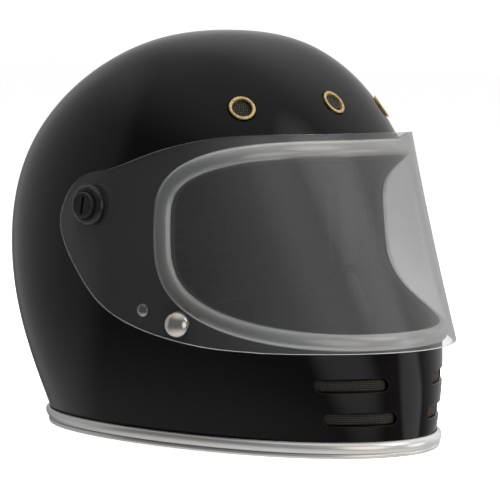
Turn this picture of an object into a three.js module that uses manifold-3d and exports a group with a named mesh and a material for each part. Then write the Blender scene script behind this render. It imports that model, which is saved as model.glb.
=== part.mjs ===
// A retro full-face motorcycle helmet with a clear flip-up visor and a double D-ring chin strap.
// Millimetres, +Z up. The face looks along -Y, the wearer's left is +X, and z = 0 is the table under the rim.
import * as THREE from 'three';
import { mergeVertices } from 'three/addons/utils/BufferGeometryUtils.js';
import Module from 'manifold-3d';

const wasm = await Module();
wasm.setup();

// ---------------------------------------------------------------- driving dimensions

// The outer skin is a smooth loft through these control stations, from below the rim to above the crown.
const STATIONS = [
  { z: -31, half: 89, front: 157, rear: 101 },
  { z: 4, half: 101, front: 158, rear: 120 },
  { z: 39, half: 113, front: 159, rear: 139 },
  { z: 79, half: 121, front: 151.5, rear: 158 },
  { z: 119, half: 122.5, front: 143.5, rear: 167 },
  { z: 159, half: 120.5, front: 128, rear: 166 },
  { z: 199, half: 115, front: 103, rear: 148.5 },
  { z: 238, half: 95, front: 76, rear: 109.5 },
  { z: 267, half: 54, front: 41, rear: 55.5 },
  { z: 273, half: 0, front: 0, rear: 0 },
];
const SQUARENESS = 0.06; // how far a horizontal section is fuller than an ellipse
const RIM_Z = 4; // the shell's lower edge, held off the table by the rim trim
const SHELL = 4; // laminate thickness
const GAP = 0.35; // clearance between pieces that touch
const SKIN_GAP = 1.8; // clearance inside the shell, where the facets bulge inwards
const TRIM_GAP = 0.6; // clearance outside the shell, where a bead's straight steps dip inwards

const EYEPORT = { z: 144, up: 51.5, down: 69.5, halfAngle: 75, power: 3.3 }; // angle from the front, degrees
const PIVOT = { y: 12, z: 156 }; // the visor's axis, along X
const ANCHOR = { y: -27.6, z: 90.4 }; // the chin strap's rivets, along X
const VISOR = { thickness: 2.2, squareness: -0.036 };
const VISOR_TOP = { z: 206, half: 124.3, front: 106.6, rear: 200 };
const VISOR_BOTTOM = { z: 68.5, half: 132, front: 163, rear: 200 };
const KNOB = { angle: 69, z: 84, radius: 8.4, height: 7 };

const BROW_VENTS = [
  { name: 'left', angle: 45, z: 221 },
  { name: 'centre', angle: 0, z: 225 },
  { name: 'right', angle: -45, z: 221 },
];
const REAR_VENT = { angle: 180, z: 112 };
const VENT = { bore: 7.6, flange: 8.8, mouth: 6.6 }; // radii
const CHIN_SLOTS = [
  { name: 'upper', angle: 23.5, z: 47 },
  { name: 'lower', angle: 21.2, z: 25 },
];
const SLOT = { length: 52, height: 8 };

const STRAP = { width: 22, thickness: 2, y: ANCHOR.y };

// The loft's own axis lies this far in front of the origin, which is under the middle of the overall length.
const AXIS_Y = -0.9;

const rad = THREE.MathUtils.degToRad;
const vec = (x, y, z) => new THREE.Vector3(x, y, z);

// ---------------------------------------------------------------- the outer skin

const KEYS = ['z', 'half', 'front', 'rear'];
const crown = STATIONS.at(-2);
const beyondCrown = { z: crown.z, half: -crown.half, front: -crown.front, rear: -crown.rear };
const CONTROL = [...STATIONS, beyondCrown];
const TOP = CONTROL.length - 3; // the loft's parameter runs from 0 at the rim to TOP at the crown

// A uniform cubic B-spline through the stations, carried on in a straight line below the rim.
function section(v) {
  const i = Math.min(Math.max(Math.floor(v), 0), TOP - 1);
  const u = v - i;
  const weights = v < 0
    ? [1 / 6 - v / 2, 4 / 6, 1 / 6 + v / 2, 0]
    : [
      (1 - u) ** 3 / 6,
      (3 * u ** 3 - 6 * u ** 2 + 4) / 6,
      (-3 * u ** 3 + 3 * u ** 2 + 3 * u + 1) / 6,
      u ** 3 / 6,
    ];
  const blend = (key) => weights.reduce((sum, weight, k) => sum + weight * CONTROL[i + k][key], 0);
  return Object.fromEntries(KEYS.map((key) => [key, blend(key)]));
}

// A point of a section's plan outline: angle 0 is the front, 90 the wearer's left, 180 the back.
function planPoint(angle, { z, half, front, rear }, squareness) {
  const s = Math.sin(rad(angle));
  const c = Math.cos(rad(angle));
  const reach = ((front + rear) / 2) * c + ((front - rear) / 2) * c * c;
  return vec(half * s * (1 + squareness * c * c), -reach * (1 + squareness * s * s), z);
}

// The loft's parameter at a height.
function levelAt(z) {
  let low = -1;
  let high = TOP;
  for (let n = 0; n < 40; n++) {
    const middle = (low + high) / 2;
    if (section(middle).z < z) low = middle;
    else high = middle;
  }
  return (low + high) / 2;
}

function skin(angle, v) {
  return planPoint(angle, section(v), SQUARENESS);
}

function skinNormal(angle, v) {
  const dv = 1e-3;
  if (v > TOP - dv) return vec(0, 0, 1);
  const around = skin(angle + 0.1, v).sub(skin(angle - 0.1, v));
  const up = skin(angle, v + dv).sub(skin(angle, v - dv));
  return around.cross(up).normalize();
}

// The skin moved out by offset along its normal.
function offsetSkin(angle, v, offset) {
  return skin(angle, v).addScaledVector(skinNormal(angle, v), offset);
}

// The angle at which the skin passes a given y on the wearer's left, at a height.
function angleAtY(y, z) {
  const v = levelAt(z);
  let low = 0;
  let high = 180;
  for (let n = 0; n < 40; n++) {
    const middle = (low + high) / 2;
    if (skin(middle, v).y < y) low = middle;
    else high = middle;
  }
  return (low + high) / 2;
}

// A frame on the skin: local X runs along the horizontal, local Y up the skin and local Z out of it.
function skinFrame(angle, z, offset = 0) {
  const v = levelAt(z);
  const out = skinNormal(angle, v);
  const along = vec(-out.y, out.x, 0).normalize();
  const up = out.clone().cross(along);
  return new THREE.Matrix4().makeBasis(along, up, out).setPosition(offsetSkin(angle, v, offset));
}

// ---------------------------------------------------------------- geometry helpers

function signedVolume(geometry) {
  const p = geometry.getAttribute('position');
  const corner = (n) => vec().fromBufferAttribute(p, geometry.index.getX(n));
  let six = 0;
  for (let n = 0; n < geometry.index.count; n += 3) six += corner(n).dot(corner(n + 1).cross(corner(n + 2)));
  return six / 6;
}

function flip(geometry) {
  const index = geometry.index.array;
  for (let n = 0; n < index.length; n += 3) [index[n + 1], index[n + 2]] = [index[n + 2], index[n + 1]];
  return geometry;
}

// A closed geometry from points and triangles, turned so that its faces point out.
function closed(points, triangles) {
  const geometry = new THREE.BufferGeometry().setFromPoints(points);
  geometry.setIndex(new THREE.BufferAttribute(new Uint32Array(triangles), 1));
  return signedVolume(geometry) < 0 ? flip(geometry) : geometry;
}

// A curved slab: point(u, w, layer) gives its two faces, layer 0 and 1, for u and w from 0 to 1.
function slab(point, nu, nw) {
  const points = [];
  const triangles = [];
  const id = (i, j, layer) => (layer * (nw + 1) + j) * (nu + 1) + i;
  for (const layer of [0, 1])
    for (let j = 0; j <= nw; j++) for (let i = 0; i <= nu; i++) points.push(point(i / nu, j / nw, layer));
  const quad = (a, b, c, d) => triangles.push(a, b, c, a, c, d);
  for (let j = 0; j < nw; j++)
    for (let i = 0; i < nu; i++) {
      quad(id(i, j, 1), id(i + 1, j, 1), id(i + 1, j + 1, 1), id(i, j + 1, 1));
      quad(id(i, j, 0), id(i, j + 1, 0), id(i + 1, j + 1, 0), id(i + 1, j, 0));
    }
  for (let i = 0; i < nu; i++) {
    quad(id(i, 0, 0), id(i + 1, 0, 0), id(i + 1, 0, 1), id(i, 0, 1));
    quad(id(i, nw, 1), id(i + 1, nw, 1), id(i + 1, nw, 0), id(i, nw, 0));
  }
  for (let j = 0; j < nw; j++) {
    quad(id(0, j, 1), id(0, j + 1, 1), id(0, j + 1, 0), id(0, j, 0));
    quad(id(nu, j, 0), id(nu, j + 1, 0), id(nu, j + 1, 1), id(nu, j, 1));
  }
  return closed(points, triangles);
}

// A closed ring: point(t, k) gives corner k of the profile at t from 0 to 1 round the ring.
function ring(point, steps, corners) {
  const points = [];
  const triangles = [];
  for (let i = 0; i < steps; i++) for (let k = 0; k < corners; k++) points.push(point(i / steps, k));
  const id = (i, k) => (i % steps) * corners + (k % corners);
  for (let i = 0; i < steps; i++)
    for (let k = 0; k < corners; k++) {
      triangles.push(id(i, k), id(i + 1, k), id(i + 1, k + 1), id(i, k), id(i + 1, k + 1), id(i, k + 1));
    }
  return closed(points, triangles);
}

// Everything inside the skin moved by offset, open to nothing: a dome with a flat underside below the rim.
function dome(offset, columns, rows) {
  const startLevel = -0.45;
  const points = [];
  const triangles = [];
  for (let j = 0; j < rows; j++) {
    const v = startLevel + ((TOP - startLevel) * j) / rows;
    for (let i = 0; i < columns; i++) points.push(offsetSkin((360 * i) / columns, v, offset));
  }
  const topId = points.push(offsetSkin(0, TOP, offset)) - 1;
  const centre = points.slice(0, columns).reduce((sum, p) => sum.add(p), vec()).divideScalar(columns);
  const baseId = points.push(centre) - 1;
  const id = (i, j) => j * columns + (i % columns);
  for (let i = 0; i < columns; i++) {
    triangles.push(baseId, id(i + 1, 0), id(i, 0), topId, id(i, rows - 1), id(i + 1, rows - 1));
    for (let j = 0; j < rows - 1; j++)
      triangles.push(id(i, j), id(i + 1, j), id(i + 1, j + 1), id(i, j), id(i + 1, j + 1), id(i, j + 1));
  }
  return closed(points, triangles);
}

// A three.js geometry as a solid that can be cut and joined.
function solid(geometry) {
  const bare = new THREE.BufferGeometry();
  bare.setAttribute('position', geometry.getAttribute('position'));
  bare.setIndex(geometry.index);
  const merged = mergeVertices(bare, 1e-4);
  return new wasm.Manifold(new wasm.Mesh({
    numProp: 3,
    vertProperties: new Float32Array(merged.getAttribute('position').array),
    triVerts: new Uint32Array(merged.index.array),
  }));
}

// A cut or joined solid as a three.js geometry again.
function geometryOf(shape) {
  const { vertProperties, triVerts } = shape.getMesh();
  const geometry = new THREE.BufferGeometry();
  geometry.setAttribute('position', new THREE.BufferAttribute(vertProperties, 3));
  geometry.setIndex(new THREE.BufferAttribute(triVerts, 1));
  return geometry;
}

const box = (x0, x1, y0, y1, z0, z1) =>
  new THREE.BoxGeometry(x1 - x0, y1 - y0, z1 - z0).translate((x0 + x1) / 2, (y0 + y1) / 2, (z0 + z1) / 2);

// A cylinder along +X from x0 to x1, at a y and z.
const barX = (radius, x0, x1, { y, z }, segments = 20) =>
  new THREE.CylinderGeometry(radius, radius, x1 - x0, segments)
    .rotateZ(-Math.PI / 2)
    .translate((x0 + x1) / 2, y, z);

// A lathe about +Z from a closed [radius, height] profile, listed so that its faces point out.
function lathe(profile, segments = 16) {
  const points = profile.map(([r, h]) => new THREE.Vector2(r, h));
  if (profile[0][0] > 0) points.push(points[0]);
  const turned = new THREE.LatheGeometry(points, segments).rotateX(Math.PI / 2);
  const bare = new THREE.BufferGeometry().setAttribute('position', turned.getAttribute('position'));
  bare.setIndex(turned.index);
  const merged = mergeVertices(bare, 1e-4);
  const kept = [];
  for (let n = 0; n < merged.index.count; n += 3) {
    const [a, b, c] = [0, 1, 2].map((k) => merged.index.getX(n + k));
    if (a !== b && b !== c && c !== a) kept.push(a, b, c);
  }
  merged.setIndex(kept);
  return signedVolume(merged) < 0 ? flip(merged) : merged;
}

// A lathe about the line along +X at a y and z; heights become x.
const latheX = (profile, { y, z }, segments) =>
  lathe(profile, segments).rotateY(Math.PI / 2).translate(0, y, z);

const mirrored = (geometry) => {
  const copy = geometry.clone().scale(-1, 1, 1);
  copy.setIndex(copy.index.clone());
  return flip(copy);
};

// ---------------------------------------------------------------- materials

const finish = (color, roughness, metalness) => ({ color, roughness, metalness });
const GLOSS_BLACK = finish(0x08080a, 0.08, 0);
const CHROME_TRIM = finish(0xb9bdbb, 0.22, 1);
const BRIGHT_STEEL = finish(0xc9c4bd, 0.12, 1);
const DARK_MESH = finish(0x2c2a28, 0.55, 0.6);
const BRASS = finish(0xb79a58, 0.28, 1);
const BLACK_PLASTIC = finish(0x111113, 0.25, 0);
const NYLON = finish(0x232325, 0.5, 0);
const CLEAR = finish(0xdfe3e4, 0.04, 0);
const FOAM = finish(0x1b1b1d, 0.9, 0);
const LINING = finish(0x2a292b, 0.95, 0);
const LEATHER = finish(0x241c18, 0.6, 0);
const WEBBING = finish(0x141415, 0.85, 0);

const helmet = new THREE.Group();
helmet.position.y = AXIS_Y;

function add(name, geometry, look, extra = {}) {
  const mesh = new THREE.Mesh(geometry, new THREE.MeshStandardMaterial({ ...look, ...extra }));
  geometry.computeVertexNormals();
  mesh.name = name;
  helmet.add(mesh);
}

// Adds a piece built on the wearer's left and its mirror image on the right.
function addPair(name, geometry, look) {
  add(`${name}_left`, geometry, look);
  add(`${name}_right`, mirrored(geometry), look);
}

// ---------------------------------------------------------------- openings in the shell

const EYEPORT_STEPS = 60;
const MM_PER_DEGREE = 2.4; // roughly, round the eyeport
const signedPower = (value, power) => Math.sign(value) * Math.abs(value) ** power;

// The eyeport's edge, unrolled: X is the distance round the shell from the front, Y the height.
class EyeportEdge extends THREE.Curve {
  constructor(grow) {
    super();
    this.grow = grow;
  }

  getPoint(t) {
    const c = signedPower(Math.cos(2 * Math.PI * t), 2 / EYEPORT.power);
    const s = signedPower(Math.sin(2 * Math.PI * t), 2 / EYEPORT.power);
    const reach = EYEPORT.halfAngle * MM_PER_DEGREE + this.grow;
    const rise = (s > 0 ? EYEPORT.up : EYEPORT.down) + this.grow;
    return new THREE.Vector2(c * reach, EYEPORT.z + s * rise);
  }
}

// Evenly spaced points of the edge as angles and heights, the edge moved outwards by grow.
function eyeportEdge(grow) {
  const points = new EyeportEdge(grow).getSpacedPoints(EYEPORT_STEPS).slice(0, EYEPORT_STEPS);
  return points.map((p) => ({ angle: p.x / MM_PER_DEGREE, z: p.y, v: levelAt(p.y) }));
}

// A plug that fills the eyeport from an offset inside the skin to well outside it.
function eyeportPlug(grow, inside) {
  const offsets = [inside, 4, 40];
  const spoke = ({ angle, v }) => offsets.map((offset) => offsetSkin(angle, v, offset));
  const points = eyeportEdge(grow).flatMap(spoke);
  const back = points.push(vec(0, 0, EYEPORT.z)) - 1;
  const front = points.push(vec(0, -260, EYEPORT.z)) - 1;
  const triangles = [];
  for (let i = 0; i < EYEPORT_STEPS; i++) {
    const [a, b] = [3 * i, 3 * ((i + 1) % EYEPORT_STEPS)];
    triangles.push(back, b, a, front, a + 2, b + 2);
    for (const k of [0, 1]) triangles.push(a + k, b + k, b + k + 1, a + k, b + k + 1, a + k + 1);
  }
  return solid(closed(points, triangles));
}

// A round plug through the wall at an angle and height.
const ventPlug = (radius, depth, { angle, z }) =>
  solid(new THREE.CylinderGeometry(radius, radius, depth + 8, 20).rotateX(Math.PI / 2)
    .translate(0, 0, 4 - depth / 2).applyMatrix4(skinFrame(angle, z)));

// A round-ended slot outline, length by height, smaller all round by inset.
function slotShape(inset) {
  const r = SLOT.height / 2 - inset;
  const reach = SLOT.length / 2 - SLOT.height / 2;
  const shape = new THREE.Shape();
  shape.absarc(reach, 0, r, -Math.PI / 2, Math.PI / 2, false);
  shape.absarc(-reach, 0, r, Math.PI / 2, Math.PI * 1.5, false);
  return shape;
}

function slotPlug(side, slot, inset) {
  const depth = 24;
  const plug = new THREE.ExtrudeGeometry(slotShape(inset), { depth, bevelEnabled: false, curveSegments: 6 });
  return solid(plug.translate(0, 0, -depth / 2).applyMatrix4(skinFrame(side * slot.angle, slot.z)));
}

// ---------------------------------------------------------------- shell

const SHELL_COLUMNS = 42;
const SHELL_ROWS = 15;
const belowRim = solid(box(-200, 200, -250, 250, -90, RIM_Z));
const leftPivotX = skin(angleAtY(PIVOT.y, PIVOT.z), levelAt(PIVOT.z)).x;
const leftAnchorX = skin(angleAtY(ANCHOR.y, ANCHOR.z), levelAt(ANCHOR.z)).x;
const PIVOT_SHANK = 3.9;
const RIVET_SHANK = 2.4;

function outerShell() {
  const outside = solid(dome(0, SHELL_COLUMNS, SHELL_ROWS));
  let shell = outside.subtract(solid(dome(-SHELL, SHELL_COLUMNS, SHELL_ROWS)));
  shell = shell.subtract(belowRim).subtract(eyeportPlug(0, -SHELL - 4));
  for (const vent of [...BROW_VENTS, REAR_VENT]) shell = shell.subtract(ventPlug(VENT.bore + GAP, 14, vent));
  for (const side of [1, -1]) for (const slot of CHIN_SLOTS) shell = shell.subtract(slotPlug(side, slot, 0));
  const crossBore = (radius, place) => solid(barX(radius, -160, 160, place));
  return shell.subtract(crossBore(PIVOT_SHANK + GAP, PIVOT)).subtract(crossBore(RIVET_SHANK + GAP, ANCHOR));
}
add('outer_shell', geometryOf(outerShell()), GLOSS_BLACK);

// ---------------------------------------------------------------- trims

// Eyeport bead, a channel that clips over the cut edge: [away from the opening, out of the skin].
const EYEPORT_PROFILE = [
  [5, -SHELL - SKIN_GAP], [5, -8], [-3.4, -8], [-5, -5], [-4.6, 1], [-2.6, 3.2],
  [1, 3.7], [4.4, 2.8], [6, TRIM_GAP], [-GAP, TRIM_GAP], [-GAP, -SHELL - SKIN_GAP],
];

function eyeportTrim() {
  const edge = eyeportEdge(0);
  const middle = edge.map(({ angle, v }) => skin(angle, v));
  return ring((t, k) => {
    const i = Math.round(t * EYEPORT_STEPS);
    const out = skinNormal(edge[i].angle, edge[i].v);
    const along = middle[(i + 1) % EYEPORT_STEPS].clone().sub(middle.at(i - 1));
    const away = along.cross(out).normalize();
    const [across, high] = EYEPORT_PROFILE[k];
    return middle[i].clone().addScaledVector(away, across).addScaledVector(out, high);
  }, EYEPORT_STEPS, EYEPORT_PROFILE.length);
}
add('eyeport_trim', eyeportTrim(), CHROME_TRIM);

// Rim bead round the neck opening, a channel open upwards with a flat underside: [height, out of the shell].
const RIM_PROFILE = [
  [0, 1.6], [1.6, 3.4], [5.5, 4.1], [8.8, 2.9], [10.5, TRIM_GAP], [RIM_Z - GAP, TRIM_GAP],
  [RIM_Z - GAP, -SHELL - SKIN_GAP], [9.5, -SHELL - SKIN_GAP], [9.5, -8.2], [1.5, -8.2], [0, -6.6],
];

function rimTrim() {
  return ring((t, k) => {
    const [z, out] = RIM_PROFILE[k];
    const v = levelAt(Math.max(z, RIM_Z));
    const flat = skinNormal(360 * t, v).setZ(0).normalize();
    return skin(360 * t, v).addScaledVector(flat, out).setZ(z);
  }, 54, RIM_PROFILE.length);
}
add('rim_trim', rimTrim(), CHROME_TRIM);

// ---------------------------------------------------------------- vents

const ventGrommet = ({ angle, z }) =>
  lathe([[VENT.mouth, -5], [VENT.bore, -5], [VENT.bore, GAP], [VENT.flange, GAP], [VENT.flange - 0.6, 1.3],
    [VENT.mouth + 0.6, 1.5], [VENT.mouth, 0.8]]).applyMatrix4(skinFrame(angle, z));
const ventMesh = ({ angle, z }) =>
  lathe([[0, -1.6], [VENT.mouth - GAP, -1.6], [VENT.mouth - GAP, -0.8], [0, -0.8]])
    .applyMatrix4(skinFrame(angle, z));

for (const vent of BROW_VENTS) {
  add(`brow_vent_grommet_${vent.name}`, ventGrommet(vent), BRASS);
  add(`brow_vent_mesh_${vent.name}`, ventMesh(vent), DARK_MESH);
}
add('rear_vent_grommet', ventGrommet(REAR_VENT), BRASS);
add('rear_vent_mesh', ventMesh(REAR_VENT), DARK_MESH);

// A mesh strip set into each chin slot, curved with the shell.
function chinVentMesh(side, slot) {
  const reach = 15;
  const strip = slab((u, w, layer) => offsetSkin(
    side * slot.angle + (2 * u - 1) * reach,
    levelAt(slot.z + (2 * w - 1) * SLOT.height),
    -3.2 + layer,
  ), 12, 1);
  return geometryOf(solid(strip).intersect(slotPlug(side, slot, GAP)));
}
for (const slot of CHIN_SLOTS) {
  add(`chin_vent_mesh_${slot.name}_left`, chinVentMesh(1, slot), DARK_MESH);
  add(`chin_vent_mesh_${slot.name}_right`, chinVentMesh(-1, slot), DARK_MESH);
}

// ---------------------------------------------------------------- visor

// The visor's inner face, or one offset out from it: straight lines from the bottom outline to the top.
function visorFace(angle, z, offset = 0) {
  const climb = (z - VISOR_BOTTOM.z) / (VISOR_TOP.z - VISOR_BOTTOM.z);
  const between = (key) => VISOR_BOTTOM[key] + (VISOR_TOP[key] - VISOR_BOTTOM[key]) * climb;
  const outline = { z, half: between('half'), front: between('front'), rear: between('rear') };
  const point = planPoint(angle, outline, VISOR.squareness);
  const along = planPoint(angle + 0.1, outline, VISOR.squareness).sub(point).normalize();
  return point.addScaledVector(vec(along.y, -along.x, 0), offset);
}

// The cut-out outline seen from the side, as [y, z]: over the brow, round the pivot lobe and back under.
const VISOR_OUTLINE = [
  [-110, 206], [-77, 203.7], [-43.5, 195.1], [-7, 181.3], [12.7, 177], [26, 171.5], [36.5, 161],
  [42, 147], [38.5, 133], [22.3, 112.8], [-1.4, 92.5], [-32.4, 79.5], [-73.8, 71], [-110, 68.5],
];
const VISOR_SPAN = { angle: 116, low: 62, high: 214 };
const AHEAD = -200; // a y in front of everything

function visorOutline() {
  const shape = new THREE.Shape();
  shape.moveTo(AHEAD, VISOR_TOP.z);
  shape.lineTo(...VISOR_OUTLINE[0]);
  shape.splineThru(VISOR_OUTLINE.slice(1).map(([y, z]) => new THREE.Vector2(y, z)));
  shape.lineTo(AHEAD, VISOR_BOTTOM.z);
  shape.closePath();
  return shape;
}

const PIVOT_HOLE = 7.2;

function visorShield() {
  const { angle, low, high } = VISOR_SPAN;
  const sheet = slab((u, w, layer) =>
    visorFace(angle * (2 * u - 1), low + (high - low) * w, layer * VISOR.thickness), 48, 4);
  const width = 320;
  const extrusion = { depth: width, bevelEnabled: false, curveSegments: 2 };
  const cutter = new THREE.ExtrudeGeometry(visorOutline(), extrusion);
  // The outline's own X and Y are the helmet's Y and Z, and it is extruded along X.
  cutter.applyMatrix4(new THREE.Matrix4().makeBasis(vec(0, 1, 0), vec(0, 0, 1), vec(1, 0, 0)));
  cutter.translate(-width / 2, 0, 0);
  const shield = solid(sheet).intersect(solid(cutter)).subtract(solid(barX(PIVOT_HOLE, -160, 160, PIVOT)));
  return shield.subtract(knobPlug(1)).subtract(knobPlug(-1));
}

// A frame on the visor at a knob: local Z points out of it.
function visorFrame(side, offset) {
  const angle = side * KNOB.angle;
  const origin = visorFace(angle, KNOB.z, offset);
  const along = visorFace(angle + 1, KNOB.z, offset).sub(origin).normalize();
  const above = visorFace(angle, KNOB.z + 1, offset).sub(origin);
  const out = along.clone().cross(above).normalize();
  return new THREE.Matrix4().makeBasis(along, out.clone().cross(along), out).setPosition(origin);
}
const KNOB_SHANK = 2.2;
const knobPlug = (side) => solid(new THREE.CylinderGeometry(KNOB_SHANK + 0.3, KNOB_SHANK + 0.3, 20, 12)
  .rotateX(Math.PI / 2).applyMatrix4(visorFrame(side, 0)));
add('visor_shield', geometryOf(visorShield()), CLEAR, { transparent: true, opacity: 0.35 });

// A domed knob on each side, clamped through the visor by a screw with a flat head inside.
function knobDome() {
  const { radius, height } = KNOB;
  const domePoint = (d) => [radius * Math.sin(rad(d)), 0.8 + (height - 0.8) * Math.cos(rad(d))];
  const arc = [0, 22, 45, 68, 90].map(domePoint);
  return lathe([...arc, [radius, GAP], [0, GAP]], 20);
}
for (const [name, side] of [['left', 1], ['right', -1]]) {
  add(`visor_knob_${name}`, knobDome().applyMatrix4(visorFrame(side, VISOR.thickness)), BRIGHT_STEEL);
  const screw = lathe([[0, -2.2], [4.6, -2.2], [5, -1.6], [5, -GAP], [KNOB_SHANK, -GAP],
    [KNOB_SHANK, VISOR.thickness], [0, VISOR.thickness]], 16);
  add(`visor_knob_screw_${name}`, screw.applyMatrix4(visorFrame(side, 0)), BRIGHT_STEEL);
}

// ---------------------------------------------------------------- visor pivots

const pivotAngle = 90 + THREE.MathUtils.radToDeg(PIVOT.y / VISOR_TOP.rear);
const visorInnerX = visorFace(pivotAngle, PIVOT.z).x;
const visorOuterX = visorInnerX + VISOR.thickness;
const ROOM = { inside: 1.9, outside: 1.2 }; // what the visor's curve needs next to a flat face
const CAP_HEIGHT = 4.6;
const SCREW_HEAD = { radius: 8.4, height: 3.2 };

function pivotBase() {
  const block = solid(barX(13, leftPivotX - 3, visorInnerX - ROOM.inside, PIVOT, 28));
  const bore = solid(barX(PIVOT_SHANK + GAP, 60, 160, PIVOT));
  return block.subtract(solid(dome(GAP, SHELL_COLUMNS, SHELL_ROWS))).subtract(bore);
}
addPair('pivot_base', geometryOf(pivotBase()), BLACK_PLASTIC);

// The bush turns with the visor round the screw.
function visorBush() {
  const [x0, x1] = [visorInnerX - 0.8, visorOuterX + 0.8];
  const [inner, outer] = [PIVOT_SHANK + 0.5, PIVOT_HOLE - 0.3];
  return latheX([[inner, x0], [outer, x0], [outer, x1], [inner, x1]], PIVOT);
}
addPair('visor_bush', visorBush(), NYLON);

const capX = visorOuterX + ROOM.outside;
const capArc = [0, 25, 50, 75, 90].map((d) =>
  [8.9 + 4.4 * Math.sin(rad(d)), capX + 0.6 + (CAP_HEIGHT - 0.6) * Math.cos(rad(d))]);
addPair('pivot_cap', latheX([[PIVOT_SHANK + GAP, capX], [PIVOT_SHANK + GAP, capX + CAP_HEIGHT - 0.8],
  [8.4, capX + CAP_HEIGHT - 0.8], ...capArc, [13.3, capX]], PIVOT, 24), BLACK_PLASTIC);

function pivotScrew() {
  const headX = capX + CAP_HEIGHT;
  const { radius, height } = SCREW_HEAD;
  const tipX = leftPivotX - 10;
  const body = latheX([[0, tipX], [PIVOT_SHANK, tipX], [PIVOT_SHANK, headX],
    [radius, headX], [radius, headX + height - 0.8], [radius - 0.8, headX + height], [0, headX + height],
  ], PIVOT, 20);
  const top = headX + height;
  const slot = box(top - 1.4, top + 2, PIVOT.y - 0.9, PIVOT.y + 0.9, PIVOT.z - 12, PIVOT.z + 12);
  return solid(body).subtract(solid(slot));
}
addPair('pivot_screw', geometryOf(pivotScrew()), BLACK_PLASTIC);

const nutX = leftPivotX - SHELL - 1.6;
addPair('pivot_nut', latheX([[PIVOT_SHANK + 0.2, nutX - 3], [8.5, nutX - 3], [8.5, nutX],
  [PIVOT_SHANK + 0.2, nutX]], PIVOT, 12), BRIGHT_STEEL);

// ---------------------------------------------------------------- liner

const LINER = { outer: -SHELL - SKIN_GAP, inner: -31, padOuter: -31.8, padInner: -38, columns: 28, rows: 10 };
const LINER_FRONT = { y: -70, z: 122 };
const LINER_REAR = { y: 130, z: 56 };

// All that lies below the liner's sloping lower edge, which falls from the brow to the nape.
function belowLiner(raise) {
  const slope = Math.atan2(LINER_REAR.z - LINER_FRONT.z, LINER_REAR.y - LINER_FRONT.y);
  const half = new THREE.BoxGeometry(400, 700, 300).translate(0, 0, -150).rotateX(slope);
  return solid(half.translate(0, LINER_FRONT.y, LINER_FRONT.z + raise));
}

function domeLayer(outer, inner, raise, eyeportGrow) {
  const outside = solid(dome(outer, LINER.columns, LINER.rows));
  const layer = outside.subtract(solid(dome(inner, LINER.columns, LINER.rows)));
  return layer.subtract(belowLiner(raise)).subtract(eyeportPlug(eyeportGrow, inner - 4));
}

function impactLiner() {
  let liner = domeLayer(LINER.outer, LINER.inner, 0, 9);
  for (const vent of [...BROW_VENTS, REAR_VENT]) liner = liner.subtract(ventPlug(VENT.flange, 60, vent));
  return liner.subtract(solid(barX(11, -160, -108, PIVOT))).subtract(solid(barX(11, 108, 160, PIVOT)));
}
add('impact_liner', geometryOf(impactLiner()), FOAM);
add('crown_pad', geometryOf(domeLayer(LINER.padOuter, LINER.padInner, 5, 16)), LINING);

// A pad that follows the skin between two depths; its front and top edges may slope.
function skinPad({ from, to, low, high, outer, inner, columns, rows }) {
  return slab((u, w, layer) => {
    const z = low + (high(u) - low) * w;
    const angle = from(w) + (to - from(w)) * u;
    return offsetSkin(angle, levelAt(z), layer ? outer : inner);
  }, columns, rows);
}
const level = (value) => () => value;

addPair('cheek_pad', skinPad({
  from: (w) => 57 + 17 * w, to: 110, low: 46, high: (u) => 108 - 33 * u,
  outer: -17, inner: -45, columns: 8, rows: 4,
}), LEATHER);
add('chin_liner', skinPad({
  from: level(-50), to: 50, low: 15, high: level(61),
  outer: LINER.outer - 0.2, inner: -20, columns: 20, rows: 3,
}), FOAM);
add('neck_roll', skinPad({
  from: level(118), to: 242, low: 14, high: level(37), outer: -9.5, inner: -28, columns: 20, rows: 2,
}), LEATHER);

// ---------------------------------------------------------------- chin strap

const hangerX = leftAnchorX - SHELL - 6.2; // outer face of the hanger plate
const HANGER = { thickness: 1.5, width: 20, top: 98, bottom: 66 };
const RIVET_HEAD = { radius: 4.6, height: 3 };

// A domed rivet through the shell, a spacer inside it and the plate that turns on it.
function strapRivet() {
  const seat = leftAnchorX + GAP + 0.4;
  const arc = [0, 30, 60, 90].map((d) => [
    RIVET_HEAD.radius * Math.sin(rad(90 - d)), seat + RIVET_HEAD.height * Math.sin(rad(d))]);
  return latheX([[0, hangerX - 3.4], [5, hangerX - 3.4], [5, hangerX - HANGER.thickness - GAP],
    [RIVET_SHANK, hangerX - HANGER.thickness - GAP], [RIVET_SHANK, seat], ...arc], ANCHOR);
}
addPair('strap_rivet', strapRivet(), BRIGHT_STEEL);
addPair('rivet_spacer', latheX([[RIVET_SHANK + 0.3, hangerX + GAP], [5.5, hangerX + GAP],
  [5.5, leftAnchorX - SHELL - 1.8], [RIVET_SHANK + 0.3, leftAnchorX - SHELL - 1.8]], ANCHOR, 16), NYLON);

function strapHanger() {
  const { thickness, width, top, bottom } = HANGER;
  const front = STRAP.y - width / 2;
  const rear = STRAP.y + width / 2;
  const plate = solid(box(hangerX - thickness, hangerX, front - 3, rear + 3, bottom, top));
  const window = solid(box(hangerX - 10, hangerX + 10, front - 1, rear + 1, bottom + 4, bottom + 12));
  return plate.subtract(window).subtract(solid(barX(RIVET_SHANK + 0.3, hangerX - 10, hangerX + 10, ANCHOR)));
}
addPair('strap_hanger', geometryOf(strapHanger()), BRIGHT_STEEL);

// Webbing of the strap's width and thickness along a line of [x, z] points in the strap's own plane.
function webbing(line) {
  const points = line.map(([x, z]) => new THREE.Vector2(x, z));
  const at = (n) => points[Math.min(Math.max(n, 0), points.length - 1)];
  return slab((u, w, layer) => {
    const n = Math.round(u * (points.length - 1));
    const along = at(n + 1).clone().sub(at(n - 1)).normalize();
    const side = (layer - 0.5) * STRAP.thickness;
    return vec(at(n).x - along.y * side, STRAP.y + (w - 0.5) * STRAP.width, at(n).y + along.x * side);
  }, points.length - 1, 1);
}

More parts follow.
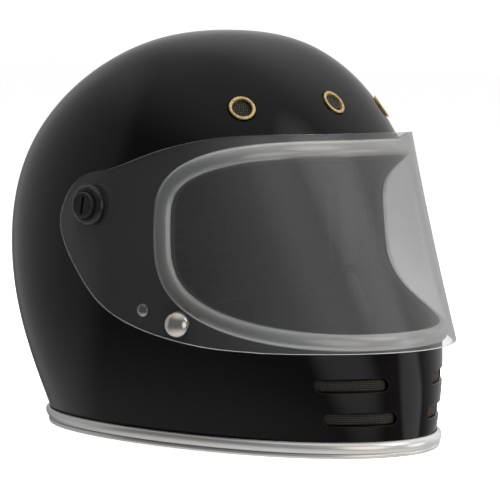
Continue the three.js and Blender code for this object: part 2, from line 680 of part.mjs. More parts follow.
const arcPoints = (x, z, radius, start, end, steps) => Array.from({ length: steps + 1 }, (_, i) => {
  const angle = rad(start + ((end - start) * i) / steps);
  return [x + radius * Math.cos(angle), z + radius * Math.sin(angle)];
});

const STRAP_FLOOR = 26; // height of the strap where it crosses under the chin
const CORNER = { x: 86.5, radius: 15 };
const LOOP = { x: 61.8, z: 22.6, radius: 3.4 }; // the short strap's loop round the D-rings' straight bars
const WIRE = 1.6; // radius
const INNER_D = { width: 29, near: LOOP.x, far: 43.5, farZ: 21.6 };
const OUTER_D = { width: 37, near: LOOP.x + 4.4, far: 37.5, farZ: 17.2 };

// From a hanger window down the inside of the shell and round to the level crossing, on the wearer's left.
const descent = [
  [hangerX - HANGER.thickness - 1.6, HANGER.bottom + 16], [hangerX - HANGER.thickness - 2, HANGER.bottom - 4],
  ...arcPoints(CORNER.x, STRAP_FLOOR + CORNER.radius, CORNER.radius, -8, -90, 5),
];

const shortStrap = [
  ...descent, ...arcPoints(LOOP.x, LOOP.z, LOOP.radius, 90, 270, 6),
  [70, 19.4], [74, 21.6], [77, 23.6], [85, 23.6],
];
add('short_strap', webbing(shortStrap), WEBBING);

const U_TURN = { x: 50.2, z: 21.2, radius: 4.8 };
const longStrap = [
  ...descent.map(([x, z]) => [-x, z]), [0, STRAP_FLOOR],
  ...arcPoints(U_TURN.x, U_TURN.z, U_TURN.radius, 90, -90, 8),
  [44.5, 16.4], [41.5, 18.6], [38, 21.3], [34, 22.4], [0, 22.6], [-34, 22.6],
];
add('long_strap', webbing(longStrap), WEBBING);

// A D-ring bent from round wire: a straight bar in the loop, two arms and a rounded far side.
function dRing({ width, far, farZ, near }) {
  const half = width / 2;
  const rise = (LOOP.z - farZ) / (near - far);
  const at = (x, y) => vec(x, STRAP.y + y, farZ + (x - far) * rise);
  const bend = 7;
  const path = new THREE.CurvePath();
  const corners = [[near, -half], [near, half], [far, half], [far, -half]];
  corners.forEach(([x, y], n) => {
    const cut = (a, b) => {
      const step = Math.min(n < 2 ? 3 : bend, Math.hypot(b[0] - a[0], b[1] - a[1]) / 2);
      const size = Math.hypot(b[0] - a[0], b[1] - a[1]);
      return at(a[0] + ((b[0] - a[0]) * step) / size, a[1] + ((b[1] - a[1]) * step) / size);
    };
    const start = cut([x, y], corners.at(n - 1));
    const end = cut([x, y], corners[(n + 1) % 4]);
    path.add(new THREE.QuadraticBezierCurve3(start, at(x, y), end));
  });
  const line = path.curves.flatMap((curve) => curve.getPoints(3));
  return ring((t, k) => {
    const n = Math.round(t * line.length);
    const here = line[n % line.length];
    const ahead = line[(n + 1) % line.length];
    const behind = line.at(n - 1);
    const along = ahead.clone().sub(behind).normalize();
    const up = vec(-rise, 0, 1).normalize();
    const out = along.cross(up).normalize();
    const turn = (2 * Math.PI * k) / 8;
    const across = WIRE * Math.cos(turn);
    const lift = WIRE * Math.sin(turn);
    return here.clone().addScaledVector(out, across).addScaledVector(up, lift);
  }, line.length, 8);
}
add('d_ring_inner', dRing(INNER_D), BRIGHT_STEEL);
add('d_ring_outer', dRing(OUTER_D), BRIGHT_STEEL);

// A press stud holds the strap's tail: a cap below the tail and a rivet above the main run.
const STUD = { x: -22, y: STRAP.y };
const stud = (profile) => lathe(profile, 20).translate(STUD.x, STUD.y, 0);
const SNAP_CAP = [[0, 18.6], [4.4, 18.6], [6, 19.6], [6, 21.6 - GAP], [0, 21.6 - GAP]];
add('strap_snap_cap', stud(SNAP_CAP), BRIGHT_STEEL);
add('strap_snap_rivet', stud([[0, 27 + GAP], [4.5, 27 + GAP], [4.2, 28.4], [0, 28.8]]), BRIGHT_STEEL);

// A rubber keeper round the tail and the main run.
function strapKeeper() {
  const [x0, x1] = [4, 14];
  const outside = box(x0, x1, STRAP.y - 13.4, STRAP.y + 13.4, 19.6, 29);
  const inside = box(x0 - 1, x1 + 1, STRAP.y - 11.6, STRAP.y + 11.6, 21.2, 27.4);
  return solid(outside).subtract(solid(inside));
}
add('strap_keeper', geometryOf(strapKeeper()), NYLON);

export default helmet;
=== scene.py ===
import math

import bmesh
import bpy
import numpy as np
from mathutils import Matrix, Vector


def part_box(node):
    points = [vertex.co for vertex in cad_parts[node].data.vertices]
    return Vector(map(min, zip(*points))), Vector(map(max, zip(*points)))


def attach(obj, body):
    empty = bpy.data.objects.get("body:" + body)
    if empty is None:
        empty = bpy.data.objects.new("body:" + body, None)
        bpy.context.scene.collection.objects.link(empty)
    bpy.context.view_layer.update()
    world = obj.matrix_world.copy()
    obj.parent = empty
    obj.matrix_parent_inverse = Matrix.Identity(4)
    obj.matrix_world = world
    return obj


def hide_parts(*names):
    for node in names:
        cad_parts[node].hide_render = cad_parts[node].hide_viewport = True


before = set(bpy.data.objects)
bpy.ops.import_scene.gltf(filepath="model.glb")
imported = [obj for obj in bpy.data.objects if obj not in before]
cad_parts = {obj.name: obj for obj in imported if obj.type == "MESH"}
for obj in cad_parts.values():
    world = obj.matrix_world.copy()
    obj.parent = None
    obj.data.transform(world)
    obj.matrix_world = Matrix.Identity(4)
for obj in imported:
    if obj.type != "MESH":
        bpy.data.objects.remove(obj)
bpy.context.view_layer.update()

MM = 0.001
AXIS_Y = -0.9  # where the loft's own axis lies in the frame, in millimetres
SIDES = (("left", 1), ("right", -1))  # the wearer's, with the sign of x

# -------------------- places taken from the frame


def centre_mm(node):
    """Middle of a CAD node's box, in millimetres, on the loft's own axis."""
    low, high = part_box(node)
    return [(a + b) / 2 / MM - shift for a, b, shift in zip(low, high, (0, AXIS_Y, 0))]


def span_mm(node, axis):
    low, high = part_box(node)
    return low[axis] / MM, high[axis] / MM


# -------------------- directions, lines and local frames


def unit(vectors):
    return vectors / np.linalg.norm(vectors, axis=-1, keepdims=True)


def full_turn(steps):
    return np.linspace(0, 2 * np.pi, steps, endpoint=False)


def arc(centre, radii, start, end, steps):
    """Points [a, b] on an elliptic arc, angles in degrees."""
    turn = np.radians(np.linspace(start, end, steps + 1))
    return [(centre[0] + radii[0] * math.cos(t), centre[1] + radii[1] * math.sin(t)) for t in turn]


def smooth_line(points, per_span):
    """A Catmull-Rom line through points."""
    padded = np.vstack([points[0] * 2 - points[1], points, points[-1] * 2 - points[-2]])
    u = np.linspace(0, 1, per_span, endpoint=False)[:, None]
    spans = []
    for a, b, c, d in zip(padded, padded[1:], padded[2:], padded[3:]):
        spans.append(b + 0.5 * u * (c - a + u * (2 * a - 5 * b + 4 * c - d + u * (3 * (b - c) + d - a))))
    return np.vstack([*spans, points[-1:]])


def run_along(line):
    """How far along a line each of its points lies."""
    return np.concatenate([[0], np.cumsum(np.linalg.norm(np.diff(line, axis=0), axis=1))])


def spread(line, count, endpoint=True):
    """Points spread evenly along a line."""
    run = run_along(line)
    at = np.linspace(0, run[-1], count, endpoint=endpoint)
    return np.column_stack([np.interp(at, run, column) for column in line.T])


def local_frame(along, out, origin):
    """A matrix with local X along, local Z out, and its origin at a point."""
    return np.column_stack([along, np.cross(out, along), out, origin])


def placed(points, matrix):
    return np.asarray(points, dtype=float) @ matrix[:, :3].T + matrix[:, 3]


# -------------------- the shell's loft

# Control stations from below the rim to above the crown: height, half width, front reach, rear reach.
STATIONS = np.array([
    (-31, 89, 157, 101),
    (4, 101, 158, 120),
    (39, 113, 159, 139),
    (79, 121, 151.5, 158),
    (119, 122.5, 143.5, 167),
    (159, 120.5, 128, 166),
    (199, 115, 103, 148.5),
    (238, 95, 76, 109.5),
    (267, 54, 41, 55.5),
    (273, 0, 0, 0),
], dtype=float)
MIRRORED_STATION = STATIONS[-2] * (1, -1, -1, -1)
CONTROL = np.vstack([STATIONS, MIRRORED_STATION])
TOP = len(CONTROL) - 3
SQUARENESS = 0.06
RIM_Z = 4  # height of the shell's lower edge
SHELL = 4  # its thickness


def sections(v):
    """Height, half width, front and rear reach at loft levels v, from 0 at the rim to TOP at the crown."""
    v = np.asarray(v, dtype=float)
    i = np.clip(np.floor(v).astype(int), 0, TOP - 1)
    u = v - i
    weights = [(1 - u) ** 3, 3 * u**3 - 6 * u**2 + 4, -3 * u**3 + 3 * u**2 + 3 * u + 1, u**3]
    total = sum(w[..., None] * CONTROL[i + k] for k, w in enumerate(weights))
    return np.moveaxis(total / 6, -1, 0)


def plan_point(angle, z, half, front, rear, squareness):
    """A point of a plan outline. Angle 0 is the front, 90 the wearer's left, 180 the back, in degrees."""
    s, c = np.sin(np.radians(angle)), np.cos(np.radians(angle))
    reach = (front + rear) / 2 * c + (front - rear) / 2 * c * c
    x = half * s * (1 + squareness * c * c)
    y = -reach * (1 + squareness * s * s)
    return np.stack(np.broadcast_arrays(x, y, z), axis=-1)


def skin(angle, v):
    return plan_point(angle, *sections(v), SQUARENESS)


def skin_normal(angle, v):
    v = np.minimum(v, TOP - 2e-3)
    around = skin(angle + 0.1, v) - skin(angle - 0.1, v)
    up = skin(angle, v + 1e-3) - skin(angle, v - 1e-3)
    return unit(np.cross(around, up))


def offset_skin(angle, v, offset):
    return skin(angle, v) + skin_normal(angle, v) * np.asarray(offset, dtype=float)[..., None]


LEVELS = np.linspace(0, TOP, 4000)
LEVEL_HEIGHTS = sections(LEVELS)[0]


def level_at(z):
    return np.interp(z, LEVEL_HEIGHTS, LEVELS)


def skin_frame(angle, z):
    """A frame on the skin: local X along the horizontal, local Y up the skin, local Z out of it."""
    v = level_at(z)
    out = skin_normal(angle, v)
    return local_frame(unit(np.array((-out[1], out[0], 0))), out, skin(angle, v))


# -------------------- mesh helpers


def link_new(name, data, matrix=Matrix()):
    obj = bpy.data.objects.new(name, data)
    bpy.context.scene.collection.objects.link(obj)
    obj.matrix_world = matrix
    return obj


def make(name, points, faces, look=None, smooth_angle=40):
    """A mesh object from points in loft millimetres. Faces meeting at over smooth_angle keep a sharp edge."""
    mesh = bpy.data.meshes.new(name)
    rows = (np.asarray(points, dtype=float) + (0, AXIS_Y, 0)) * MM
    mesh.from_pydata(rows.tolist(), [], [list(map(int, f)) for f in faces])
    mesh.validate()
    obj = link_new(name, mesh)
    tidy(obj, smooth_angle)
    if look:
        mesh.materials.append(look)
    return obj


def tidy(obj, smooth_angle=40):
    """Turns a piece's faces outwards and smooths them, but for edges sharper than smooth_angle."""
    mesh = obj.data
    shape = bmesh.new()
    shape.from_mesh(mesh)
    bmesh.ops.recalc_face_normals(shape, faces=shape.faces)
    shape.to_mesh(mesh)
    shape.free()
    mesh.polygons.foreach_set("use_smooth", [True] * len(mesh.polygons))
    mesh.set_sharp_from_angle(angle=math.radians(smooth_angle))


def finish_piece(obj, body, node):
    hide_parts(node)
    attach(obj, body)


def piece(name, shape, look, body, node, smooth_angle=40):
    """A finished piece from (points, faces), in place of one CAD node."""
    finish_piece(make(name, *shape, look, smooth_angle), body, node)


def grid_faces(columns, rows, first=0, wrap=False):
    """Faces of a grid of columns by rows points, numbered row by row from first."""
    across = columns if wrap else columns - 1
    i, j = np.meshgrid(np.arange(across), np.arange(rows - 1))
    a = first + j * columns + i
    b = first + j * columns + (i + 1) % columns
    return np.stack([a, b, b + columns, a + columns], axis=-1).reshape(-1, 4).tolist()


def sheet_faces(columns, rows):
    """Faces of a closed sheet: two grids of columns by rows points, joined round their borders."""
    count = columns * rows
    faces = grid_faces(columns, rows) + grid_faces(columns, rows, count)
    low, high = ([j * columns + i for i in range(columns)] for j in (0, rows - 1))
    near, far = ([j * columns + i for j in range(rows)] for i in (0, columns - 1))
    for line in (low, high, near, far):
        faces += [(p, q, q + count, p + count) for p, q in zip(line, line[1:])]
    return faces


def ring(point_rows):
    """Points and faces of a closed ring from an array of steps by corners by 3."""
    steps, corners, _ = point_rows.shape
    i, k = np.meshgrid(np.arange(steps), np.arange(corners), indexing="ij")
    ahead, next_corner = (i + 1) % steps, (k + 1) % corners
    quads = [i * corners + k, ahead * corners + k, ahead * corners + next_corner, i * corners + next_corner]
    return point_rows.reshape(-1, 3), np.stack(quads, axis=-1).reshape(-1, 4).tolist()


def capped_tube(point_rows):
    """Points and faces of a tube from an array of steps by corners by 3, closed at both ends."""
    steps, corners, _ = point_rows.shape
    faces = grid_faces(corners, steps, wrap=True)
    faces.append(list(range(corners))[::-1])
    faces.append([(steps - 1) * corners + k for k in range(corners)])
    return point_rows.reshape(-1, 3), faces


def prism_x(outline, low, high):
    """Points and faces of a solid with an outline of [y, z] from one x to another."""
    return capped_tube(np.array([np.column_stack([np.full(len(outline), x), outline]) for x in (low, high)]))


def lathe(profile, segments):
    """Points and faces of a solid turned about local Z from a [radius, height] profile.

    The profile starts and ends on the axis, or is a closed loop off it."""
    on_axis = profile[0][0] == 0
    body = profile[1:-1] if on_axis else profile
    rows = np.array([[(r * math.cos(t), r * math.sin(t), h) for r, h in body] for t in full_turn(segments)])
    if not on_axis:
        return ring(rows)
    count = len(body)
    points = np.vstack([rows.reshape(-1, 3), [(0, 0, profile[0][1]), (0, 0, profile[-1][1])]])
    faces = []
    for i in range(segments):
        a, b = i * count, (i + 1) % segments * count
        faces += [(a + k, b + k, b + k + 1, a + k + 1) for k in range(count - 1)]
        faces += [(segments * count, b, a), (segments * count + 1, a + count - 1, b + count - 1)]
    return points, faces


def turned(profile, matrix, segments):
    """A turned solid, placed."""
    points, faces = lathe(profile, segments)
    return placed(points, matrix), faces


def turned_on_x(profile, side, y, z, segments):
    """A solid turned about a line along X. The profile's heights run outwards on the side given."""
    points, faces = lathe(profile, segments)
    return np.column_stack([side * points[:, 2], y + points[:, 0], z + points[:, 1]]), faces


def join(parts):
    """Several (points, faces) as one."""
    points, faces, count = [], [], 0
    for part_points, part_faces in parts:
        faces += [[count + n for n in face] for face in part_faces]
        points.append(np.asarray(part_points, dtype=float))
        count += len(part_points)
    return np.vstack(points), faces


def combine(obj, cutter, operation="DIFFERENCE"):
    """Cuts a piece with (points, faces), or keeps what they share, and applies the result."""
    tool = make("tool", *cutter)
    modifier = obj.modifiers.new("cut", "BOOLEAN")
    modifier.operation, modifier.solver, modifier.object = operation, "MANIFOLD", tool
    apply_modifiers(obj)
    bpy.data.meshes.remove(tool.data)


def apply_modifiers(obj):
    bpy.context.view_layer.update()
    shaped = bpy.data.meshes.new_from_object(obj.evaluated_get(bpy.context.evaluated_depsgraph_get()))
    obj.modifiers.clear()
    old, obj.data = obj.data, shaped
    bpy.data.meshes.remove(old)


def mesh_points(mesh):
    flat = np.empty(len(mesh.vertices) * 3)
    mesh.vertices.foreach_get("co", flat)
    return flat.reshape(-1, 3)


def loft_mm(points):
    return points / MM - (0, AXIS_Y, 0)


def set_surface_normals(obj, nearest, tolerance):
    """Gives the corners that lie on a smooth surface that surface's own normals, so reflections run clean.

    nearest(points in loft millimetres) returns the surface's points and normals beside them."""
    mesh = obj.data
    points = loft_mm(mesh_points(mesh))
    beside, normals = nearest(points)
    on_surface = np.linalg.norm(beside - points, axis=1) < tolerance
    corner_vertex = np.empty(len(mesh.loops), dtype=int)
    mesh.loops.foreach_get("vertex_index", corner_vertex)
    corner_normals = np.array([n.vector[:] for n in mesh.corner_normals])
    corners = [p.loop_total for p in mesh.polygons]
    face_normals = np.repeat([p.normal[:] for p in mesh.polygons], corners, axis=0)
    wanted = normals[corner_vertex]
    along = np.einsum("ij,ij->i", wanted, face_normals)
    use = on_surface[corner_vertex] & (along > 0.8)
    corner_normals[use] = wanted[use]
    mesh.normals_split_custom_set(corner_normals.tolist())


# -------------------- materials


def math_node(tree, operation, first, second=None):
    """The output of a math node on two values, each a number or another node's output."""
    node = tree.nodes.new("ShaderNodeMath")
    node.operation = operation
    for socket, value in zip(node.inputs, (first, second)):
        if isinstance(value, (int, float)):
            socket.default_value = value
        elif value is not None:
            tree.links.new(value, socket)
    return node.outputs["Value"]


class Look:
    """A material on one Principled shader, with helpers that feed its sockets from procedural nodes."""

    def __init__(self, name, colour, roughness, metallic=0.0, **sockets):
        self.material = bpy.data.materials.new(name)
        self.material.use_nodes = True
        self.tree = self.material.node_tree
        self.shader = self.tree.nodes["Principled BSDF"]
        self.set("Base Color", (*colour, 1))
        self.set("Roughness", roughness)
        self.set("Metallic", metallic)
        for socket, value in sockets.items():
            self.set(socket.replace("_", " ").title().replace("Ior", "IOR"), value)
        self.place = self.node("ShaderNodeTexCoord").outputs["Object"]
        self.last_bump = None

    def set(self, socket, value):
        self.shader.inputs[socket].default_value = value

    def node(self, kind, **settings):
        node = self.tree.nodes.new(kind)
        for key, value in settings.items():
            setattr(node, key, value)
        return node

    def link(self, output, socket):
        self.tree.links.new(output, socket)

    def stretched(self, scale):
        mapping = self.node("ShaderNodeMapping")
        mapping.inputs["Scale"].default_value = scale
        self.link(self.place, mapping.inputs["Vector"])
        return mapping.outputs["Vector"]

    def noise(self, scale, detail=3.0, stretch=(1, 1, 1)):
        """Noise from 0 to 1, scale in cells per metre."""
        node = self.node("ShaderNodeTexNoise")
        node.inputs["Scale"].default_value = scale
        node.inputs["Detail"].default_value = detail
        self.link(self.stretched(stretch), node.inputs["Vector"])
        return node.outputs["Fac"]

    def cells(self, scale, feature="F1"):
        node = self.node("ShaderNodeTexVoronoi", feature=feature)
        node.inputs["Scale"].default_value = scale
        self.link(self.place, node.inputs["Vector"])
        return node.outputs["Distance"]

    def math(self, operation, first, second=None):
        return math_node(self.tree, operation, first, second)

    def ramp(self, value, *stops):
        """A colour ramp from (position, colour) stops."""
        node = self.node("ShaderNodeValToRGB")
        while len(node.color_ramp.elements) < len(stops):
            node.color_ramp.elements.new(0.5)
        for element, (position, colour) in zip(node.color_ramp.elements, stops):
            element.position = position
            element.color = (*colour, 1)
        self.link(value, node.inputs["Fac"])
        return node.outputs["Color"]

    def between(self, value, low, high):
        node = self.node("ShaderNodeMapRange")
        node.inputs["To Min"].default_value = low
        node.inputs["To Max"].default_value = high
        self.link(value, node.inputs["Value"])
        return node.outputs["Result"]

    def colour(self, value, *stops):
        self.link(self.ramp(value, *stops), self.shader.inputs["Base Color"])

    def roughness(self, value, low, high):
        self.link(self.between(value, low, high), self.shader.inputs["Roughness"])

    def bump(self, height, depth_mm):
        """Relief of depth_mm from a 0 to 1 height. A second call adds to the first."""
        node = self.node("ShaderNodeBump")
        node.inputs["Strength"].default_value = 1.0
        node.inputs["Distance"].default_value = depth_mm * MM
        self.link(height, node.inputs["Height"])
        if self.last_bump:
            self.link(self.last_bump, node.inputs["Normal"])
        self.last_bump = node.outputs["Normal"]
        self.link(self.last_bump, self.shader.inputs["Normal"])


def mottled(name, colour, roughness, metallic, cloud, stops, rough_range, grain=()):
    """A material whose colour and roughness follow one cloudy noise.

    cloud is that noise's scale and detail, grain the scale of a finer one and its relief in millimetres."""
    look = Look(name, colour, roughness, metallic)
    mottle = look.noise(*cloud)
    look.colour(mottle, *stops)
    look.roughness(mottle, *rough_range)
    if grain:
        scale, relief_mm = grain
        look.bump(look.noise(scale, 2), relief_mm)
    return look.material


def lacquer():
    look = Look("gloss_black_lacquer", (0.002, 0.0015, 0.0015), 0.3, specular_ior_level=0.0, ior=1.0,
                coat_weight=1.0, coat_roughness=0.015, coat_ior=1.33)
    cloud = look.noise(14)
    look.colour(cloud, (0.3, (0.0015, 0.0011, 0.0011)), (0.7, (0.0027, 0.002, 0.002)))
    look.roughness(look.noise(220, 2), 0.25, 0.4)
    return look.material


def silver_bead():
    look = Look("satin_silver_bead", (0.8, 0.8, 0.79), 0.17, metallic=0.68)
    cloud = look.noise(14, 2)
    look.colour(cloud, (0.3, (0.76, 0.73, 0.69)), (0.7, (0.8, 0.83, 0.84)))
    look.roughness(look.noise(40, 2), 0.14, 0.22)
    return look.material


def brass():
    stops = (0.3, (0.4, 0.29, 0.13)), (0.65, (0.68, 0.53, 0.27))
    return mottled("aged_brass", (0.55, 0.42, 0.2), 0.32, 0.75, (500, 3), stops, (0.25, 0.5), (2500, 0.01))


def wire():
    stops = (0.3, (0.07, 0.062, 0.055)), (0.75, (0.15, 0.135, 0.12))
    return mottled("oxidised_wire", (0.11, 0.1, 0.09), 0.5, 0.6, (900, 3), stops, (0.4, 0.6))


def polished_steel():
    look = Look("polished_steel", (0.72, 0.69, 0.65), 0.08, metallic=1.0)
    scuff = look.noise(1200, 5, (1, 1, 4))
    look.colour(look.noise(60), (0.3, (0.64, 0.61, 0.57)), (0.7, (0.78, 0.75, 0.71)))
    look.roughness(scuff, 0.05, 0.16)
    look.bump(scuff, 0.003)
    return look.material


def zinc():
    stops = (0.3, (0.42, 0.43, 0.46)), (0.7, (0.6, 0.6, 0.58))
    return mottled("zinc_plate", (0.5, 0.5, 0.52), 0.35, 1.0, (400, 3), stops, (0.25, 0.45))


def black_plastic(name, roughness, grain_mm):
    stops = (0.3, (0.009, 0.009, 0.01)), (0.7, (0.018, 0.018, 0.019))
    rough_range = (roughness * 0.8, roughness * 1.3)
    grain = (3500, grain_mm)
    return mottled(name, (0.012, 0.012, 0.013), roughness, 0.0, (300, 4), stops, rough_range, grain)


def clear_sheet():
    """Lightly smoked plastic with a faint surface haze. Lamp rays pass straight through to what is behind."""
    look = Look("smoked_polycarbonate", (0.53, 0.53, 0.53), 0.0, transmission_weight=1.0, ior=1.3)
    wipe_marks = look.noise(9, 3)
    haze = look.node("ShaderNodeBsdfDiffuse")
    milky = look.ramp(wipe_marks, (0.3, (0.78, 0.77, 0.77)), (0.7, (0.82, 0.82, 0.82)))
    look.link(milky, haze.inputs["Color"])
    hazed = look.node("ShaderNodeMixShader")
    look.link(look.between(wipe_marks, 0.022, 0.03), hazed.inputs["Fac"])
    look.link(look.shader.outputs["BSDF"], hazed.inputs[1])
    look.link(haze.outputs["BSDF"], hazed.inputs[2])
    clear = look.node("ShaderNodeBsdfTransparent")
    clear.inputs["Color"].default_value = (0.88, 0.88, 0.88, 1)
    mix = look.node("ShaderNodeMixShader")
    rays = look.node("ShaderNodeLightPath")
    look.link(rays.outputs["Is Shadow Ray"], mix.inputs["Fac"])
    look.link(hazed.outputs["Shader"], mix.inputs[1])
    look.link(clear.outputs["BSDF"], mix.inputs[2])
    look.link(mix.outputs["Shader"], look.tree.nodes["Material Output"].inputs["Surface"])
    return look.material


def cut_edge():
    """The visor's sawn and flamed edge: frosted, so it catches the light as a thin line."""
    look = Look("frosted_edge", (0.8, 0.8, 0.8), 0.35, transmission_weight=0.45, ior=1.45)
    look.roughness(look.noise(400, 3), 0.25, 0.45)
    look.colour(look.noise(120), (0.3, (0.7, 0.71, 0.71)), (0.7, (0.85, 0.85, 0.85)))
    return look.material


def foam():
    """Expanded polystyrene: fused beads of about 3 mm."""
    look = Look("black_polystyrene", (0.014, 0.014, 0.015), 0.8, specular_ior_level=0.2)
    bead = look.cells(300)
    # Colour lighter at each bead's raised middle and darker towards its edge, in the grooves between beads:
    # painted shade.
    look.colour(look.cells(300, "SMOOTH_F1"), (0.1, (0.022, 0.022, 0.023)), (0.7, (0.01, 0.01, 0.0105)))
    look.roughness(bead, 0.55, 0.85)
    look.bump(look.math("SUBTRACT", 1.0, bead), 0.35)
    return look.material


def knit(name, dark, light, pitch_mm=1.6):
    """A knitted lining fabric: rows of small loops, with a soft sheen."""
    look = Look(name, light, 0.95, specular_ior_level=0.2, sheen_weight=0.04, sheen_roughness=0.5)
    loops = look.cells(1000 / pitch_mm)
    cloud = look.noise(40, 4)
    look.colour(look.math("MULTIPLY_ADD", cloud, 0.5), (0.1, dark), (0.5, light))
    look.bump(look.math("SUBTRACT", 1.0, loops), 0.2)
    look.bump(look.noise(5000, 2), 0.03)
    return look.material


def leatherette():
    look = Look("leatherette", (0.022, 0.018, 0.016), 0.5, sheen_weight=0.1)
    grain = look.cells(650, "DISTANCE_TO_EDGE")
    look.colour(look.noise(60, 4), (0.3, (0.016, 0.013, 0.012)), (0.7, (0.032, 0.026, 0.023)))
    look.roughness(look.noise(300, 3), 0.4, 0.62)
    look.bump(look.math("MINIMUM", look.math("MULTIPLY", grain, 6.0), 1.0), 0.12)
    return look.material


def woven_webbing():
    """Nylon webbing, woven in the piece's own UV: U runs along it and V across it, in millimetres."""
    look = Look("nylon_webbing", (0.02, 0.02, 0.021), 0.7, sheen_weight=0.2)
    uv = look.node("ShaderNodeUVMap", uv_map="weave")
    split = look.node("ShaderNodeSeparateXYZ")
    look.link(uv.outputs["UV"], split.inputs["Vector"])
    along = look.math("SINE", look.math("MULTIPLY", split.outputs["X"], math.tau / 1.7))
    across = look.math("SINE", look.math("MULTIPLY", split.outputs["Y"], math.tau / 1.9))
    weave = look.math("MULTIPLY", along, across)
    height = look.between(weave, 0.0, 1.0)
    height.node.inputs["From Min"].default_value = -1.0
    # Colour follows the weave's height: painted shade in its low hollows and painted light on its raised
    # crossings.
    look.colour(height, (0.2, (0.008, 0.008, 0.0085)), (0.8, (0.035, 0.035, 0.037)))
    look.roughness(height, 0.6, 0.8)
    look.bump(height, 0.18)
    return look.material


def rubber():
    stops = (0.3, (0.01, 0.01, 0.01)), (0.7, (0.024, 0.024, 0.023))
    grain = (4000, 0.02)
    return mottled("moulded_rubber", (0.015, 0.015, 0.015), 0.6, 0.0, (700, 4), stops, (0.5, 0.72), grain)


LACQUER = lacquer()
SILVER = silver_bead()
BRASS = brass()
WIRE = wire()
STEEL = polished_steel()
ZINC = zinc()
GLOSS_PLASTIC = black_plastic("gloss_black_plastic", 0.1, 0.002)
SATIN_PLASTIC = black_plastic("satin_black_plastic", 0.38, 0.012)
CLEAR = clear_sheet()
CUT_EDGE = cut_edge()
FOAM = foam()
CROWN_KNIT = knit("crown_knit", (0.01, 0.0095, 0.0095), (0.021, 0.02, 0.02))
PAD_KNIT = knit("pad_knit", (0.009, 0.0085, 0.0085), (0.019, 0.018, 0.018), 1.3)
LEATHER = leatherette()
WEBBING = woven_webbing()
RUBBER = rubber()

# -------------------- shell

EYEPORT_Z, EYEPORT_UP, EYEPORT_DOWN, EYEPORT_HALF_ANGLE, EYEPORT_POWER = 144, 51.5, 69.5, 75, 3.3
MM_PER_DEGREE = 2.4  # roughly, round the eyeport


def eyeport_edge(steps, grow=0.0):
    """Evenly spaced points of the eyeport's edge as angles and loft levels, moved outwards by grow."""
    t = np.linspace(0, 2 * np.pi, 8001)
    power = 2 / EYEPORT_POWER
    c = np.sign(np.cos(t)) * np.abs(np.cos(t)) ** power
    s = np.sign(np.sin(t)) * np.abs(np.sin(t)) ** power
    x = c * (EYEPORT_HALF_ANGLE * MM_PER_DEGREE + grow)
    z = EYEPORT_Z + s * (np.where(s > 0, EYEPORT_UP, EYEPORT_DOWN) + grow)
    x, z = spread(np.column_stack([x, z]), steps, endpoint=False).T
    return x / MM_PER_DEGREE, level_at(z)


def dome(outer, inner, columns, rows):
    """A closed dome between two offsets from the skin. inner may be a function of angle and level."""
    angles = np.linspace(0, 360, columns, endpoint=False)
    levels = TOP * np.linspace(0, 1, rows, endpoint=False)
    a, v = np.meshgrid(angles, levels)
    inner_offsets = inner(a, v) if callable(inner) else inner
    pole_offset = inner(np.array(0.0), np.array(TOP - 0.01)) if callable(inner) else inner
    outside = offset_skin(a, v, outer).reshape(-1, 3)
    inside = offset_skin(a, v, inner_offsets).reshape(-1, 3)
    crown_z = sections(TOP)[0]
    points = np.vstack([outside, inside, [(0, 0, crown_z + outer), (0, 0, crown_z + pole_offset)]])
    count = columns * rows
    faces = grid_faces(columns, rows, wrap=True) + grid_faces(columns, rows, count, wrap=True)
    for i in range(columns):
        j = (i + 1) % columns
        last = (rows - 1) * columns
        faces.append((last + i, last + j, 2 * count))
        faces.append((count + last + i, count + last + j, 2 * count + 1))
        faces.append((i, j, count + j, count + i))
    return points, faces


def eyeport_plug(steps, grow, inside):
    """A plug that fills the eyeport from an offset inside the skin to well outside it."""
    angles, levels = eyeport_edge(steps, grow)
    rings = [offset_skin(angles, levels, offset) for offset in (inside, 4.0, 40.0)]
    points = np.vstack([*rings, [(0, 0, EYEPORT_Z), (0, -260, EYEPORT_Z)]])
    faces = grid_faces(steps, 3, wrap=True)
    for i in range(steps):
        j = (i + 1) % steps
        faces += [(i, j, 3 * steps), (2 * steps + i, 2 * steps + j, 3 * steps + 1)]
    return points, faces


def slot_outline(length, height, steps=14):
    """A round-ended slot's outline as [x, y], with points along its straight edges too."""
    r = height / 2
    reach = length / 2 - r
    along = np.linspace(-reach, reach, 16)[1:-1]
    upper = [(-x, r) for x in along]
    lower = [(x, -r) for x in along]
    right_end, left_end = arc((reach, 0), (r, r), -90, 90, steps), arc((-reach, 0), (r, r), 90, 270, steps)
    return np.array(right_end + upper + left_end + lower)


def on_skin(angle, z, local):
    """Local millimetres round, up and out of the skin as points, bent with it."""
    v = level_at(z)
    per_degree = np.linalg.norm(skin(angle + 0.5, v) - skin(angle - 0.5, v))
    local = np.asarray(local, dtype=float)
    return offset_skin(angle + local[..., 0] / per_degree, level_at(z + local[..., 1]), local[..., 2])


SLOT_LENGTH, SLOT_HEIGHT = 52, 8
CHIN_SLOTS = {"upper": (23.5, 47), "lower": (21.2, 25)}  # angle and height
BROW_VENTS = {"left": (45, 221), "centre": (0, 225), "right": (-45, 221)}
REAR_VENT = (180, 112)
VENT_BORE, VENT_FLANGE, VENT_MOUTH = 7.6, 8.8, 6.6  # radii


def slot_plug(angle, z):
    """Cuts a chin slot with its outer edge rounded over."""
    layers = [(-9, 0), (-1.1, 0), (-0.5, 0.12), (-0.12, 0.45), (0.1, 0.9), (2, 3.2), (9, 3.2)]
    rows = []
    for out, grow in layers:
        outline = slot_outline(SLOT_LENGTH + 2 * grow, SLOT_HEIGHT + 2 * grow)
        rows.append(on_skin(angle, z, np.column_stack([outline, np.full(len(outline), out)])))
    return capped_tube(np.array(rows))


